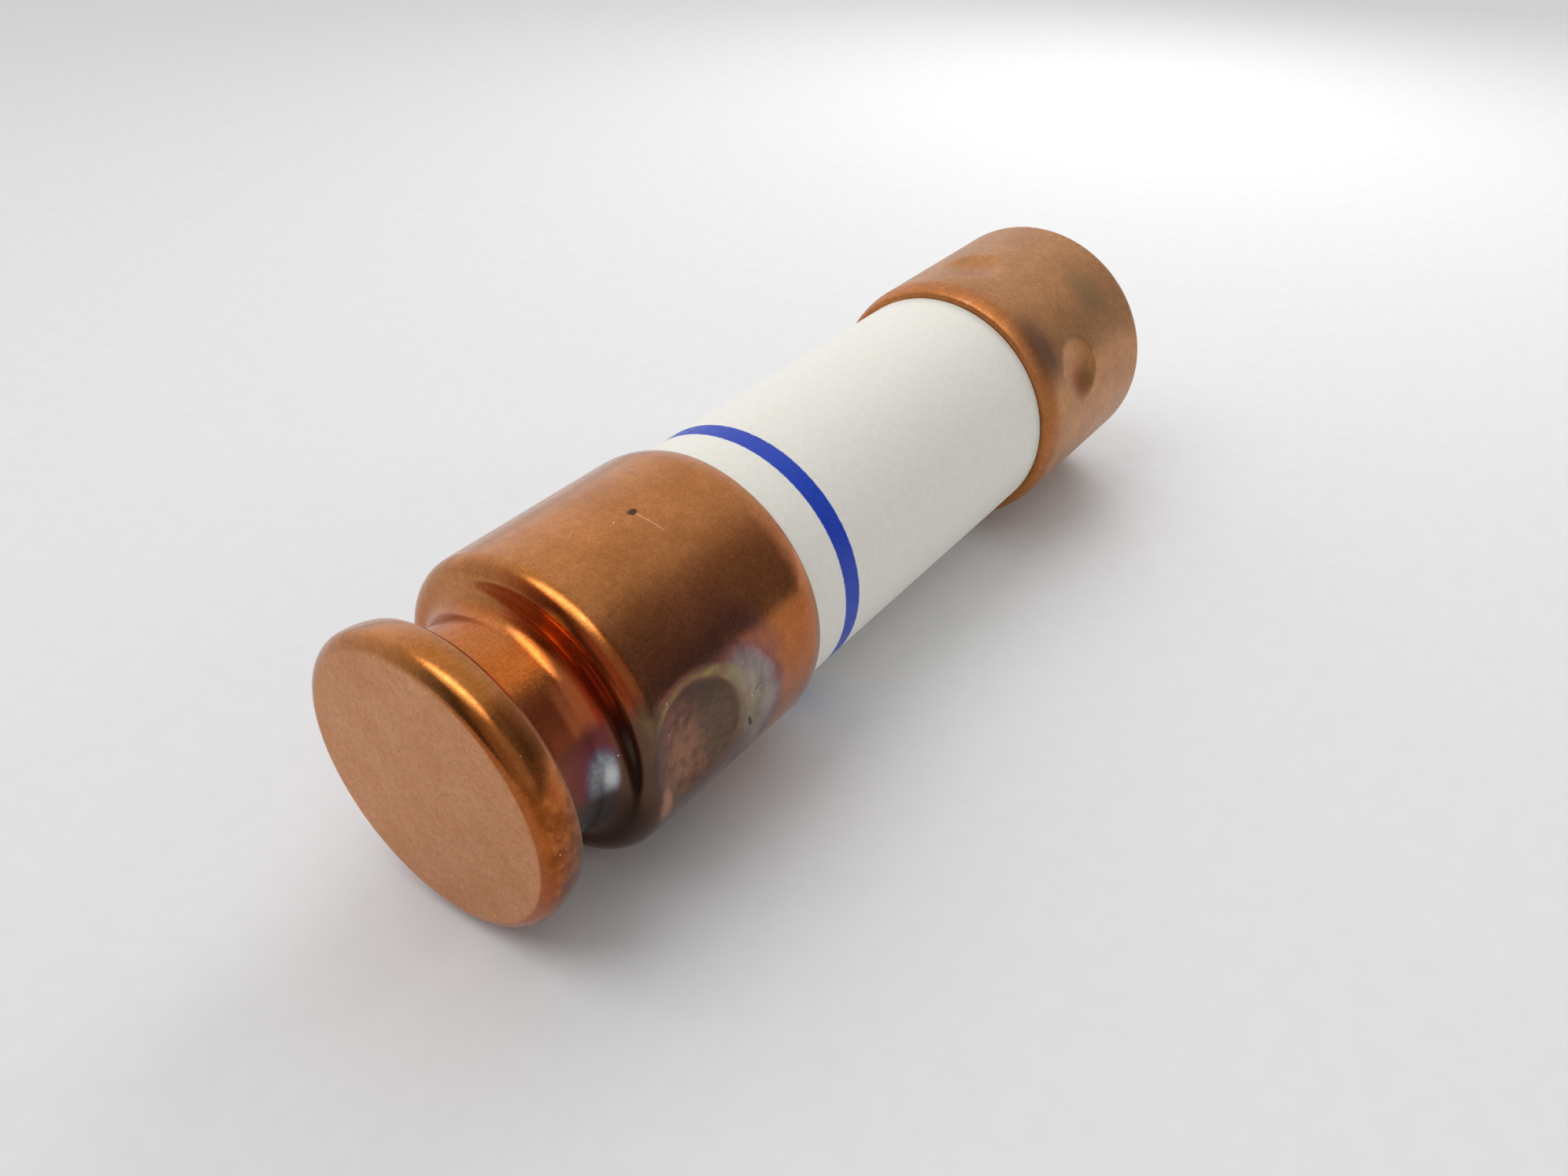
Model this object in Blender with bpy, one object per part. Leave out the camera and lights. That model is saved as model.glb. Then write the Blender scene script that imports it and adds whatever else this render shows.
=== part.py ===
"""Cartridge fuse with one grooved ferrule, time-delay, two elements, lying on its side.

Metres, +Z up. The axis runs along X: the grooved knob is at -X, the plain end at +X.
Stations along the axis (s) are counted from the face of the knob.
"""
import math

import bmesh
import bpy
from mathutils import Matrix, Vector

MM = 0.001

# Ferrules and label, as seen from outside
LENGTH = 50.8 * MM
BARREL_RADIUS = 7.15 * MM
FERRULE_WALL = 0.65 * MM
FRONT_FERRULE_LENGTH = 16.6 * MM
REAR_FERRULE_LENGTH = 12.2 * MM
RIM_EDGE = 0.45 * MM
REAR_END_EDGE = 0.7 * MM
LABEL_THICKNESS = 0.1 * MM
LABEL_GAP = 0.02 * MM

# Knob and groove that let only this class of fuse into its clips
KNOB_STEP = 0.3 * MM
KNOB_LENGTH = 2.1 * MM
KNOB_FACE_STEP = 0.5 * MM
KNOB_CROWN = 0.75 * MM
KNOB_BACK_EDGE = 0.55 * MM
GROOVE_DEPTH = 1.95 * MM
GROOVE_END = 5.45 * MM
GROOVE_FILLET = 0.95 * MM
NECK_FILLET = 0.6 * MM
SHOULDER_EDGE = 0.9 * MM

# Round stakes that pinch the ferrules onto the tube
FRONT_STAKE_STATION = 8.3 * MM
FRONT_STAKE_RADIUS = 2.65 * MM
FRONT_STAKE_CLOCKS = (178, 358)
REAR_STAKE_FROM_END = 7.9 * MM
REAR_STAKE_RADIUS = 2.0 * MM
REAR_STAKE_CLOCKS = (84, 158, 264, 338)
STAKE_DISH = 0.12 * MM
STAKE_STANDOFF = 0.3 * MM
STAKE_TRIM = 0.1 * MM

# Tube, end discs and solder
TUBE_WALL = 1.3 * MM
DISC_THICKNESS = 0.8 * MM
REAR_SOLDER_THICKNESS = 0.5 * MM

# Short-circuit link in its sand
SAND_LENGTH = 15.3 * MM
LINK_WIDTH = 4.5 * MM
LINK_THICKNESS = 0.3 * MM
LINK_FOOT = 3.0 * MM
LINK_HOLE_RADIUS = 0.55 * MM
LINK_HOLE_PITCH = 1.5 * MM
LINK_NECK_PITCH = 4.2 * MM
LINK_NECKS = 3
LINK_HOLES_PER_NECK = 3

# Overload trigger: a rod held in a heated block by low-melting alloy
ABSORBER_RADIUS = 3.0 * MM
ABSORBER_LENGTH = 4.6 * MM
ABSORBER_FLANGE = 0.8 * MM
ABSORBER_FLOOR = 1.6 * MM
HEATER_THICKNESS = 0.3 * MM
HEATER_WIDTH = 2.8 * MM
HEATER_ARC = 300
ALLOY_WALL = 0.6 * MM
ALLOY_RECESS = 0.2 * MM
ROD_RADIUS = 1.3 * MM
ROD_TIP_CHAMFER = 0.2 * MM
COLLAR_RADIUS = 2.75 * MM
COLLAR_THICKNESS = 0.8 * MM
TRIGGER_TRAVEL = 4.0 * MM
TRAVEL_MARGIN = 0.3 * MM
SEAT_THICKNESS = 0.5 * MM
GUIDE_WALL = 0.5 * MM

# Trigger spring
SPRING_LENGTH = 7.0 * MM
SPRING_RADIUS = 2.1 * MM
SPRING_WIRE_RADIUS = 0.28 * MM
SPRING_TURNS = 6
SPRING_POINTS_PER_TURN = 10

# Flexible ribbon from the rod to the plain end
RIBBON_THICKNESS = 0.25 * MM
RIBBON_WIDTH = 3.0 * MM
RIBBON_FOOT = 3.0 * MM
RIBBON_PAD = 1.1 * MM
RIBBON_WAVE = 1.6 * MM
RIBBON_WAVES = 1.5
RIBBON_LEAD = 0.5 * MM
RIBBON_POINTS_PER_WAVE = 14

# Clearances and faceting
FIT = 0.05 * MM
SLIDE_FIT = 0.2 * MM
SLOT_GAP = 0.2 * MM
SEGMENTS = 48
ARC_STEPS = 5
STAKE_RINGS = 12
HOLE_SEGMENTS = 12
SHARP_ANGLE = math.radians(35)
WELD = 0.0001 * MM

# Radii that follow from the sizes above
KNOB_RADIUS = BARREL_RADIUS - KNOB_STEP
NECK_RADIUS = BARREL_RADIUS - GROOVE_DEPTH
SEAT_RADIUS = BARREL_RADIUS - FERRULE_WALL
TUBE_RADIUS = SEAT_RADIUS - FIT
TUBE_BORE = TUBE_RADIUS - TUBE_WALL
PACK_RADIUS = TUBE_BORE - FIT
LABEL_INNER = TUBE_RADIUS + LABEL_GAP
LABEL_RADIUS = LABEL_INNER + LABEL_THICKNESS
ALLOY_BORE = ROD_RADIUS + FIT
ABSORBER_BORE = ALLOY_BORE + ALLOY_WALL + FIT
GUIDE_BORE = COLLAR_RADIUS + SLIDE_FIT
AXIS_HEIGHT = BARREL_RADIUS * math.cos(math.pi / SEGMENTS)

# Stations from the knob inwards
KNOB_FLOOR = FERRULE_WALL
KNOB_BACK_INSIDE = KNOB_LENGTH - FERRULE_WALL
SHOULDER_INSIDE = GROOVE_END + FERRULE_WALL
FRONT_DISC_START = SHOULDER_INSIDE + FIT
FRONT_DISC_END = FRONT_DISC_START + DISC_THICKNESS
FRONT_FOOT = FRONT_DISC_START - FIT - LINK_THICKNESS / 2
FRONT_SOLDER_END = FRONT_FOOT - LINK_THICKNESS / 2 - FIT
TUBE_START = FRONT_DISC_END + FIT
SAND_END = TUBE_START + SAND_LENGTH
PARTITION_START = SAND_END + FIT
PARTITION_END = PARTITION_START + DISC_THICKNESS
BACK_FOOT = PARTITION_END + FIT + LINK_THICKNESS / 2
ABSORBER_START = BACK_FOOT + LINK_THICKNESS / 2 + FIT
ABSORBER_END = ABSORBER_START + ABSORBER_LENGTH
ABSORBER_BORE_FLOOR = ABSORBER_START + ABSORBER_FLOOR
SEAT_START = ABSORBER_END + FIT
SPRING_START = SEAT_START + SEAT_THICKNESS + FIT
COLLAR_START = SPRING_START + SPRING_LENGTH + FIT
COLLAR_END = COLLAR_START + COLLAR_THICKNESS
GUIDE_END = COLLAR_END + TRIGGER_TRAVEL + TRAVEL_MARGIN
SUPPORT_START = GUIDE_END + FIT
SUPPORT_END = SUPPORT_START + DISC_THICKNESS

# Stations from the plain end inwards
REAR_WALL_INSIDE = LENGTH - FERRULE_WALL
REAR_SOLDER_END = REAR_WALL_INSIDE - FIT
REAR_SOLDER_START = REAR_SOLDER_END - REAR_SOLDER_THICKNESS
REAR_FOOT = REAR_SOLDER_START - FIT - RIBBON_THICKNESS / 2
REAR_DISC_END = REAR_FOOT - RIBBON_THICKNESS / 2 - FIT
REAR_DISC_START = REAR_DISC_END - DISC_THICKNESS
TUBE_END = REAR_DISC_START - FIT
FRONT_RIM = FRONT_FERRULE_LENGTH
REAR_RIM = LENGTH - REAR_FERRULE_LENGTH
REAR_STAKE_STATION = LENGTH - REAR_STAKE_FROM_END


def remove_objects():
    for obj in list(bpy.data.objects):
        bpy.data.objects.remove(obj, do_unlink=True)


def make_material(name, colour, roughness, metallic):
    made = bpy.data.materials.new(name)
    made.use_nodes = True
    shader = made.node_tree.nodes["Principled BSDF"]
    shader.inputs["Base Color"].default_value = (*colour, 1.0)
    shader.inputs["Roughness"].default_value = roughness
    shader.inputs["Metallic"].default_value = metallic
    made.diffuse_color = (*colour, 1.0)
    return made


def make_empty(name, location):
    empty = bpy.data.objects.new(name, None)
    empty.location = location
    bpy.context.scene.collection.objects.link(empty)
    return empty


def add_object(name, data, parent, material=None):
    """Link an object whose own axes start at the knob's face, on the fuse's axis."""
    if material:
        data.materials.append(material)
    obj = bpy.data.objects.new(name, data)
    obj.parent = parent
    bpy.context.scene.collection.objects.link(obj)
    return obj


def add_mesh(name, bm, parent, material=None):
    bmesh.ops.recalc_face_normals(bm, faces=bm.faces)
    mesh = bpy.data.meshes.new(name)
    bm.to_mesh(mesh)
    bm.free()
    mesh.shade_smooth()
    mesh.set_sharp_from_angle(angle=SHARP_ANGLE)
    return add_object(name, mesh, parent, material)


def arc(station, radius, size, start, end):
    """Points of an arc of a turned profile, its centre given, angles in degrees."""
    points = []
    for step in range(ARC_STEPS + 1):
        angle = math.radians(start + (end - start) * step / ARC_STEPS)
        points.append((station + size * math.cos(angle), radius + size * math.sin(angle)))
    return points


def block(start, end, inner, outer):
    """Profile of a plain ring, or of a plain disc where inner is 0."""
    return [(start, inner), (start, outer), (end, outer), (end, inner)]


def turned(name, profile, parent, material=None):
    """Spin a profile of (station, radius) points, with a flat facet at the bottom."""
    half_facet = math.pi / SEGMENTS
    outwards = Vector((0, math.sin(half_facet), -math.cos(half_facet)))
    bm = bmesh.new()
    verts = [bm.verts.new(Vector((s, 0, 0)) + r * outwards) for s, r in profile]
    ends_on_axis = profile[0][1] == 0
    followers = verts[1:] if ends_on_axis else verts[1:] + verts[:1]
    edges = [bm.edges.new(pair) for pair in zip(verts, followers)]
    bmesh.ops.spin(
        bm,
        geom=verts + edges,
        cent=(0, 0, 0),
        axis=(1, 0, 0),
        angle=2 * math.pi,
        steps=SEGMENTS,
        use_merge=True,
    )
    bmesh.ops.remove_doubles(bm, verts=bm.verts, dist=WELD)
    return add_mesh(name, bm, parent, material)


def ribbon(name, path, sweep, thickness, parent, material):
    """A bent strip: a path swept sideways and thickened evenly about its middle."""
    bm = bmesh.new()
    verts = [bm.verts.new(point - sweep / 2) for point in path]
    edges = [bm.edges.new(pair) for pair in zip(verts, verts[1:])]
    swept = bmesh.ops.extrude_edge_only(bm, edges=edges)["geom"]
    moved = [item for item in swept if isinstance(item, bmesh.types.BMVert)]
    bmesh.ops.translate(bm, verts=moved, vec=sweep)
    strip = add_mesh(name, bm, parent, material)
    shell = strip.modifiers.new("thickness", "SOLIDIFY")
    shell.thickness = thickness
    shell.offset = 0
    shell.use_even_offset = True
    return strip


def as_cutter(obj):
    obj.hide_render = True
    obj.display_type = "WIRE"
    return obj


def combine(obj, other, operation):
    boolean = obj.modifiers.new(other.name, "BOOLEAN")
    boolean.object = other
    boolean.operation = operation
    boolean.solver = "EXACT"


def slot_cutter(name, start, end, width, thickness, parent):
    """A box on the axis, wider than a strip by the slot gap, that runs past both faces."""
    size = (
        end - start + 2 * SLOT_GAP,
        width + 2 * SLOT_GAP,
        thickness + 2 * SLOT_GAP,
    )
    middle = Vector(((start + end) / 2, 0, 0))
    bm = bmesh.new()
    bmesh.ops.create_cube(bm, size=1, matrix=Matrix.Translation(middle) @ Matrix.Diagonal((*size, 1)))
    return as_cutter(add_mesh(name, bm, parent))


def stake_shape(name, station, radius, clock, swell, parent):
    """An ellipsoid punch whose mark on the round barrel is a circle of the given radius.

    swell thickens the punch, to give the wall it pushes in or the dent left under that wall.
    """
    drop = BARREL_RADIUS - math.sqrt(BARREL_RADIUS**2 - radius**2)
    depth_axis = STAKE_STANDOFF + drop + STAKE_DISH
    along = radius / math.sqrt(1 - (STAKE_STANDOFF / depth_axis) ** 2)
    around = radius / math.sqrt(1 - ((STAKE_STANDOFF + drop) / depth_axis) ** 2)
    semi_axes = (along + swell, depth_axis + swell, around + swell)
    centre = Vector((station, BARREL_RADIUS + STAKE_STANDOFF, 0))
    turn = Matrix.Rotation(math.radians(clock), 4, "X")
    place = turn @ Matrix.Translation(centre) @ Matrix.Diagonal((*semi_axes, 1))
    bm = bmesh.new()
    bmesh.ops.create_uvsphere(
        bm, u_segments=2 * STAKE_RINGS, v_segments=STAKE_RINGS, radius=1, matrix=place
    )
    return as_cutter(add_mesh(name, bm, parent))


def stake(ferrule, backing, span, station, radius, clocks, parent):
    """Push round dents into a ferrule, and room for them into the pieces that back it.

    span is the stretch of the axis, start and end, that the pushed-in wall stays within.
    """
    core_profile = block(*span, 0, BARREL_RADIUS - STAKE_TRIM)
    core = as_cutter(turned(f"{ferrule.name}_core", core_profile, parent))
    for clock in clocks:
        label = f"{ferrule.name}_stake_{clock}"
        wall = stake_shape(f"{label}_wall", station, radius, clock, FERRULE_WALL, parent)
        combine(wall, core, "INTERSECT")
        combine(ferrule, wall, "UNION")
        punch = stake_shape(f"{label}_punch", station, radius, clock, 0, parent)
        combine(ferrule, punch, "DIFFERENCE")
        room = stake_shape(f"{label}_room", station, radius, clock, FERRULE_WALL + FIT, parent)
        for piece in backing:
            combine(piece, room, "DIFFERENCE")


def rejection_ferrule(parent, material):
    """Drawn cup with a rolled groove, which leaves a hollow knob at its closed end.

    The knob's rim is crowned: it rises from a crisp edge round the flat face to the full radius.
    """
    fillet = min(GROOVE_FILLET, GROOVE_DEPTH / 2)
    shoulder = min(SHOULDER_EDGE, GROOVE_DEPTH / 2)
    crown_turn = math.acos(1 - KNOB_FACE_STEP / KNOB_CROWN)
    crown_station = KNOB_CROWN * math.sin(crown_turn)
    outside = [(0, 0)]
    outside += arc(crown_station, KNOB_RADIUS - KNOB_CROWN, KNOB_CROWN, 90 + math.degrees(crown_turn), 90)
    outside += arc(KNOB_LENGTH - KNOB_BACK_EDGE, KNOB_RADIUS - KNOB_BACK_EDGE, KNOB_BACK_EDGE, 90, 0)
    outside += arc(KNOB_LENGTH + NECK_FILLET, NECK_RADIUS + NECK_FILLET, NECK_FILLET, 180, 270)
    outside += arc(GROOVE_END - fillet, NECK_RADIUS + fillet, fillet, 270, 360)
    outside += arc(GROOVE_END + shoulder, BARREL_RADIUS - shoulder, shoulder, 180, 90)
    outside += arc(FRONT_RIM - RIM_EDGE, BARREL_RADIUS - RIM_EDGE, RIM_EDGE, 90, 0)
    inside = [
        (FRONT_RIM, SEAT_RADIUS),
        (SHOULDER_INSIDE, SEAT_RADIUS),
        (SHOULDER_INSIDE, NECK_RADIUS - FERRULE_WALL),
        (KNOB_BACK_INSIDE, NECK_RADIUS - FERRULE_WALL),
        (KNOB_BACK_INSIDE, KNOB_RADIUS - FERRULE_WALL),
        (KNOB_FLOOR, KNOB_RADIUS - FERRULE_WALL),
        (KNOB_FLOOR, 0),
    ]
    return turned("rejection_ferrule", outside + inside, parent, material)


def plain_ferrule(parent, material):
    profile = [(LENGTH, 0)]
    profile += arc(LENGTH - REAR_END_EDGE, BARREL_RADIUS - REAR_END_EDGE, REAR_END_EDGE, 0, 90)
    profile += arc(REAR_RIM + RIM_EDGE, BARREL_RADIUS - RIM_EDGE, RIM_EDGE, 90, 180)
    profile += [(REAR_RIM, SEAT_RADIUS), (REAR_WALL_INSIDE, SEAT_RADIUS), (REAR_WALL_INSIDE, 0)]
    return turned("plain_ferrule", profile, parent, material)


def front_solder(parent, material):
    """Solder run into the knob and neck: a mushroom that follows their inside."""
    neck = NECK_RADIUS - FERRULE_WALL - FIT
    knob = KNOB_RADIUS - FERRULE_WALL - FIT
    profile = [
        (KNOB_FLOOR + FIT, 0),
        (KNOB_FLOOR + FIT, knob),
        (KNOB_BACK_INSIDE - FIT, knob),
        (KNOB_BACK_INSIDE - FIT, neck),
        (FRONT_SOLDER_END, neck),
        (FRONT_SOLDER_END, 0),
    ]
    return turned("front_solder_fill", profile, parent, material)


def slotted_disc(name, start, radius, width, thickness, parent, material):
    end = start + DISC_THICKNESS
    disc = turned(name, block(start, end, 0, radius), parent, material)
    combine(disc, slot_cutter(f"{name}_slot", start, end, width, thickness, parent), "DIFFERENCE")
    return disc


def link_holes(parent):
    """Rows of round holes that leave the link's narrow necks."""
    first_neck = (TUBE_START + SAND_END - LINK_NECK_PITCH * (LINK_NECKS - 1)) / 2
    bm = bmesh.new()
    for neck in range(LINK_NECKS):
        for hole in range(LINK_HOLES_PER_NECK):
            sideways = (hole - (LINK_HOLES_PER_NECK - 1) / 2) * LINK_HOLE_PITCH
            centre = Vector((first_neck + neck * LINK_NECK_PITCH, sideways, 0))
            bmesh.ops.create_cone(
                bm,
                cap_ends=True,
                segments=HOLE_SEGMENTS,
                radius1=LINK_HOLE_RADIUS,
                radius2=LINK_HOLE_RADIUS,
                depth=LINK_THICKNESS + 2 * SLOT_GAP,
                matrix=Matrix.Translation(centre),
            )
    return as_cutter(add_mesh("short_circuit_link_holes", bm, parent))


def short_circuit_link(parent, material):
    """Copper strip with a foot soldered at the knob end and one welded to the heat block."""
    path = [
        Vector((FRONT_FOOT, 0, LINK_FOOT)),
        Vector((FRONT_FOOT, 0, 0)),
        Vector((BACK_FOOT, 0, 0)),
        Vector((BACK_FOOT, 0, -LINK_FOOT)),
    ]
    sweep = Vector((0, LINK_WIDTH, 0))
    link = ribbon("short_circuit_link", path, sweep, LINK_THICKNESS, parent, material)
    combine(link, link_holes(parent), "DIFFERENCE")
    return link


def sand_filler(parent, material):
    sand = turned("sand_filler", block(TUBE_START, SAND_END, 0, PACK_RADIUS), parent, material)
    slot = slot_cutter("sand_slot", TUBE_START, SAND_END, LINK_WIDTH, LINK_THICKNESS, parent)
    combine(sand, slot, "DIFFERENCE")
    return sand


def heat_absorber(parent, material):
    """Flanged block, bored from the rear for the alloy and the trigger rod."""
    profile = [
        (ABSORBER_START, 0),
        (ABSORBER_START, PACK_RADIUS),
        (ABSORBER_START + ABSORBER_FLANGE, PACK_RADIUS),
        (ABSORBER_START + ABSORBER_FLANGE, ABSORBER_RADIUS),
        (ABSORBER_END, ABSORBER_RADIUS),
        (ABSORBER_END, ABSORBER_BORE),
        (ABSORBER_BORE_FLOOR, ABSORBER_BORE),
        (ABSORBER_BORE_FLOOR, 0),
    ]
    return turned("heat_absorber", profile, parent, material)


def heater_band(parent, material):
    """Open band of resistance strip round the heat block."""
    radius = ABSORBER_RADIUS + SLIDE_FIT + HEATER_THICKNESS / 2
    middle = (ABSORBER_START + ABSORBER_FLANGE + ABSORBER_END) / 2
    steps = round(SEGMENTS * HEATER_ARC / 360)
    path = []
    for step in range(steps + 1):
        angle = math.radians(HEATER_ARC) * (step / steps - 0.5)
        path.append(Vector((middle, radius * math.sin(angle), radius * math.cos(angle))))
    sweep = Vector((HEATER_WIDTH, 0, 0))
    return ribbon("heater_band", path, sweep, HEATER_THICKNESS, parent, material)


def trigger_plunger(parent, material):
    tip = ABSORBER_BORE_FLOOR + SLIDE_FIT
    profile = [
        (tip, 0),
        (tip, ROD_RADIUS - ROD_TIP_CHAMFER),
        (tip + ROD_TIP_CHAMFER, ROD_RADIUS),
        (COLLAR_START, ROD_RADIUS),
        (COLLAR_START, COLLAR_RADIUS),
        (COLLAR_END, COLLAR_RADIUS),
        (COLLAR_END, ROD_RADIUS),
        (SUPPORT_END, ROD_RADIUS),
        (SUPPORT_END, 0),
    ]
    return turned("trigger_plunger", profile, parent, material)


def helix_point(turn):
    """Centre of the spring's wire after a number of turns."""
    run = SPRING_LENGTH - 2 * SPRING_WIRE_RADIUS
    angle = 2 * math.pi * turn
    return Vector((
        SPRING_START + SPRING_WIRE_RADIUS + run * turn / SPRING_TURNS,
        SPRING_RADIUS * math.cos(angle),
        SPRING_RADIUS * math.sin(angle),
    ))


def least_gap(points):
    """Smallest clear distance between wire surfaces half a turn or more apart."""
    apart = SPRING_POINTS_PER_TURN // 2
    distances = []
    for first, point in enumerate(points):
        for other in points[first + apart:]:
            distances.append((point - other).length)
    return min(distances) - 2 * SPRING_WIRE_RADIUS


def trigger_spring(parent, material):
    """One unbroken wire, wound by formula."""
    count = SPRING_TURNS * SPRING_POINTS_PER_TURN + 1
    points = [helix_point(step / SPRING_POINTS_PER_TURN) for step in range(count)]
    print(f"trigger_spring least gap {least_gap(points) / MM:.2f} mm")
    curve = bpy.data.curves.new("trigger_spring", "CURVE")
    curve.dimensions = "3D"
    curve.bevel_depth = SPRING_WIRE_RADIUS
    curve.bevel_resolution = 1
    curve.use_fill_caps = True
    spline = curve.splines.new("POLY")
    spline.points.add(count - 1)
    for target, point in zip(spline.points, points):
        target.co = (*point, 1)
    return add_object("trigger_spring", curve, parent, material)


def flexible_connector(parent, material):
    """Waved copper ribbon that folds up when the rod is pushed back."""
    start = SUPPORT_END + FIT + RIBBON_THICKNESS / 2
    wave_start = start + RIBBON_LEAD
    wave_end = REAR_DISC_START - RIBBON_LEAD
    path = [Vector((start, 0, -RIBBON_PAD)), Vector((start, 0, 0))]
    steps = round(RIBBON_WAVES * RIBBON_POINTS_PER_WAVE)
    for step in range(steps + 1):
        share = step / steps
        height = RIBBON_WAVE * math.sin(2 * math.pi * RIBBON_WAVES * share)
        path.append(Vector((wave_start + (wave_end - wave_start) * share, 0, height)))
    path += [Vector((REAR_FOOT, 0, 0)), Vector((REAR_FOOT, 0, RIBBON_FOOT))]
    sweep = Vector((0, RIBBON_WIDTH, 0))
    return ribbon("flexible_connector", path, sweep, RIBBON_THICKNESS, parent, material)


def build():
    remove_objects()
    copper = make_material("copper", (0.60, 0.31, 0.17), 0.35, 1.0)
    paper = make_material("label_paper", (0.80, 0.79, 0.73), 0.6, 0.0)
    fibre = make_material("grey_fibre", (0.35, 0.33, 0.30), 0.7, 0.0)
    board = make_material("red_fibre", (0.36, 0.10, 0.06), 0.7, 0.0)
    solder = make_material("solder", (0.55, 0.55, 0.54), 0.4, 1.0)
    sand = make_material("quartz_sand", (0.74, 0.69, 0.60), 0.9, 0.0)
    brass = make_material("brass", (0.70, 0.52, 0.22), 0.35, 1.0)
    alloy = make_material("low_melting_alloy", (0.62, 0.62, 0.60), 0.3, 1.0)
    nichrome = make_material("resistance_strip", (0.42, 0.40, 0.38), 0.4, 1.0)
    steel = make_material("spring_steel", (0.50, 0.50, 0.51), 0.3, 1.0)

    axis = make_empty("fuse_axis", (-LENGTH / 2, 0, AXIS_HEIGHT))
    slide = make_empty("trigger_slide_axis", axis.location)

    tube = turned("body_tube", block(TUBE_START, TUBE_END, TUBE_BORE, TUBE_RADIUS), axis, fibre)
    label = block(FRONT_RIM + FIT, REAR_RIM - FIT, LABEL_INNER, LABEL_RADIUS)
    turned("label_sleeve", label, axis, paper)

    front_disc = slotted_disc(
        "front_end_disc", FRONT_DISC_START, TUBE_RADIUS, LINK_WIDTH, LINK_THICKNESS, axis, board
    )
    slotted_disc(
        "rear_end_disc", REAR_DISC_START, TUBE_RADIUS, RIBBON_WIDTH, RIBBON_THICKNESS, axis, board
    )
    slotted_disc(
        "chamber_partition", PARTITION_START, PACK_RADIUS, LINK_WIDTH, LINK_THICKNESS, axis, board
    )
    support = block(SUPPORT_START, SUPPORT_END, ROD_RADIUS + SLIDE_FIT, PACK_RADIUS)
    turned("guide_support_disc", support, axis, board)

    front = rejection_ferrule(axis, copper)
    rear = plain_ferrule(axis, copper)
    front_span = (SHOULDER_INSIDE - STAKE_TRIM, FRONT_RIM - STAKE_TRIM)
    rear_span = (REAR_RIM + STAKE_TRIM, REAR_WALL_INSIDE + STAKE_TRIM)
    front_backing = (tube, front_disc)
    stake(
        front, front_backing, front_span, FRONT_STAKE_STATION, FRONT_STAKE_RADIUS, FRONT_STAKE_CLOCKS, axis
    )
    stake(rear, (tube,), rear_span, REAR_STAKE_STATION, REAR_STAKE_RADIUS, REAR_STAKE_CLOCKS, axis)

    front_solder(axis, solder)
    rear_solder = block(REAR_SOLDER_START, REAR_SOLDER_END, 0, TUBE_RADIUS)
    turned("rear_solder_fill", rear_solder, axis, solder)

    short_circuit_link(axis, copper)
    sand_filler(axis, sand)
    heat_absorber(axis, brass)
    heater_band(axis, nichrome)
    alloy_ring = block(
        ABSORBER_BORE_FLOOR + FIT, ABSORBER_END - ALLOY_RECESS, ALLOY_BORE, ABSORBER_BORE - FIT
    )
    turned("fusible_alloy", alloy_ring, axis, alloy)

    seat = block(SEAT_START, SEAT_START + SEAT_THICKNESS, ROD_RADIUS + SLIDE_FIT, GUIDE_BORE - FIT)
    turned("spring_seat_washer", seat, axis, board)
    guide = block(SEAT_START, GUIDE_END, GUIDE_BORE, GUIDE_BORE + GUIDE_WALL)
    turned("trigger_guide_tube", guide, axis, fibre)
    trigger_spring(axis, steel)
    trigger_plunger(slide, brass)
    flexible_connector(axis, copper)


build()
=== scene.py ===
"""Looks of a cartridge fuse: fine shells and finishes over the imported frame, floor, light, camera.

Metres, in the frame's own axes. The fuse lies along X with its knob at -X. Stations count from
the knob's face along the axis, and clock angles from +Y over the top, so 180 degrees faces -Y.
Finishes are drawn in millimetres on the unrolled barrel, with tones as red, green and blue.
"""
import math
from typing import NamedTuple

import bpy
from mathutils import Matrix, Vector


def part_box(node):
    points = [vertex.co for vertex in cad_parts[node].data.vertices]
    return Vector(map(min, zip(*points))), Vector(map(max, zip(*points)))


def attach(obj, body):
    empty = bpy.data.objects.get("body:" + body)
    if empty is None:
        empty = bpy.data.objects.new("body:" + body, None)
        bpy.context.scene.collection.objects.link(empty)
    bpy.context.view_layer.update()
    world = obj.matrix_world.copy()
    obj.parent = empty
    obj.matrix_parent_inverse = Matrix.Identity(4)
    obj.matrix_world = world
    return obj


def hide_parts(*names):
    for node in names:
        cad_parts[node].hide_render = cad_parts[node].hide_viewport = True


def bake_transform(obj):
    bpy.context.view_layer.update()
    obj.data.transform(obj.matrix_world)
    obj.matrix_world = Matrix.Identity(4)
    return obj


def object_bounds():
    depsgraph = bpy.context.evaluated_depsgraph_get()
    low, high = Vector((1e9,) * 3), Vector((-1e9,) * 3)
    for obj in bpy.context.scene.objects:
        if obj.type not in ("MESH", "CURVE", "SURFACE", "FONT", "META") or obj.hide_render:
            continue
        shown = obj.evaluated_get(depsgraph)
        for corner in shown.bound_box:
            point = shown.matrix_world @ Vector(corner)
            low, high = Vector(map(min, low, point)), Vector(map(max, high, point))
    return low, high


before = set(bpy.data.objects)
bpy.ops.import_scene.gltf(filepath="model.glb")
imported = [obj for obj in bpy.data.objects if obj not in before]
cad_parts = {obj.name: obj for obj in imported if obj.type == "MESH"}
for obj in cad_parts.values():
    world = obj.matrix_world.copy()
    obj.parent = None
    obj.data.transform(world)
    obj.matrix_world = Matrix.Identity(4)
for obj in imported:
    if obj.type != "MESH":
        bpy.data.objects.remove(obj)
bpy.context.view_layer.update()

MM = 0.001

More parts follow.
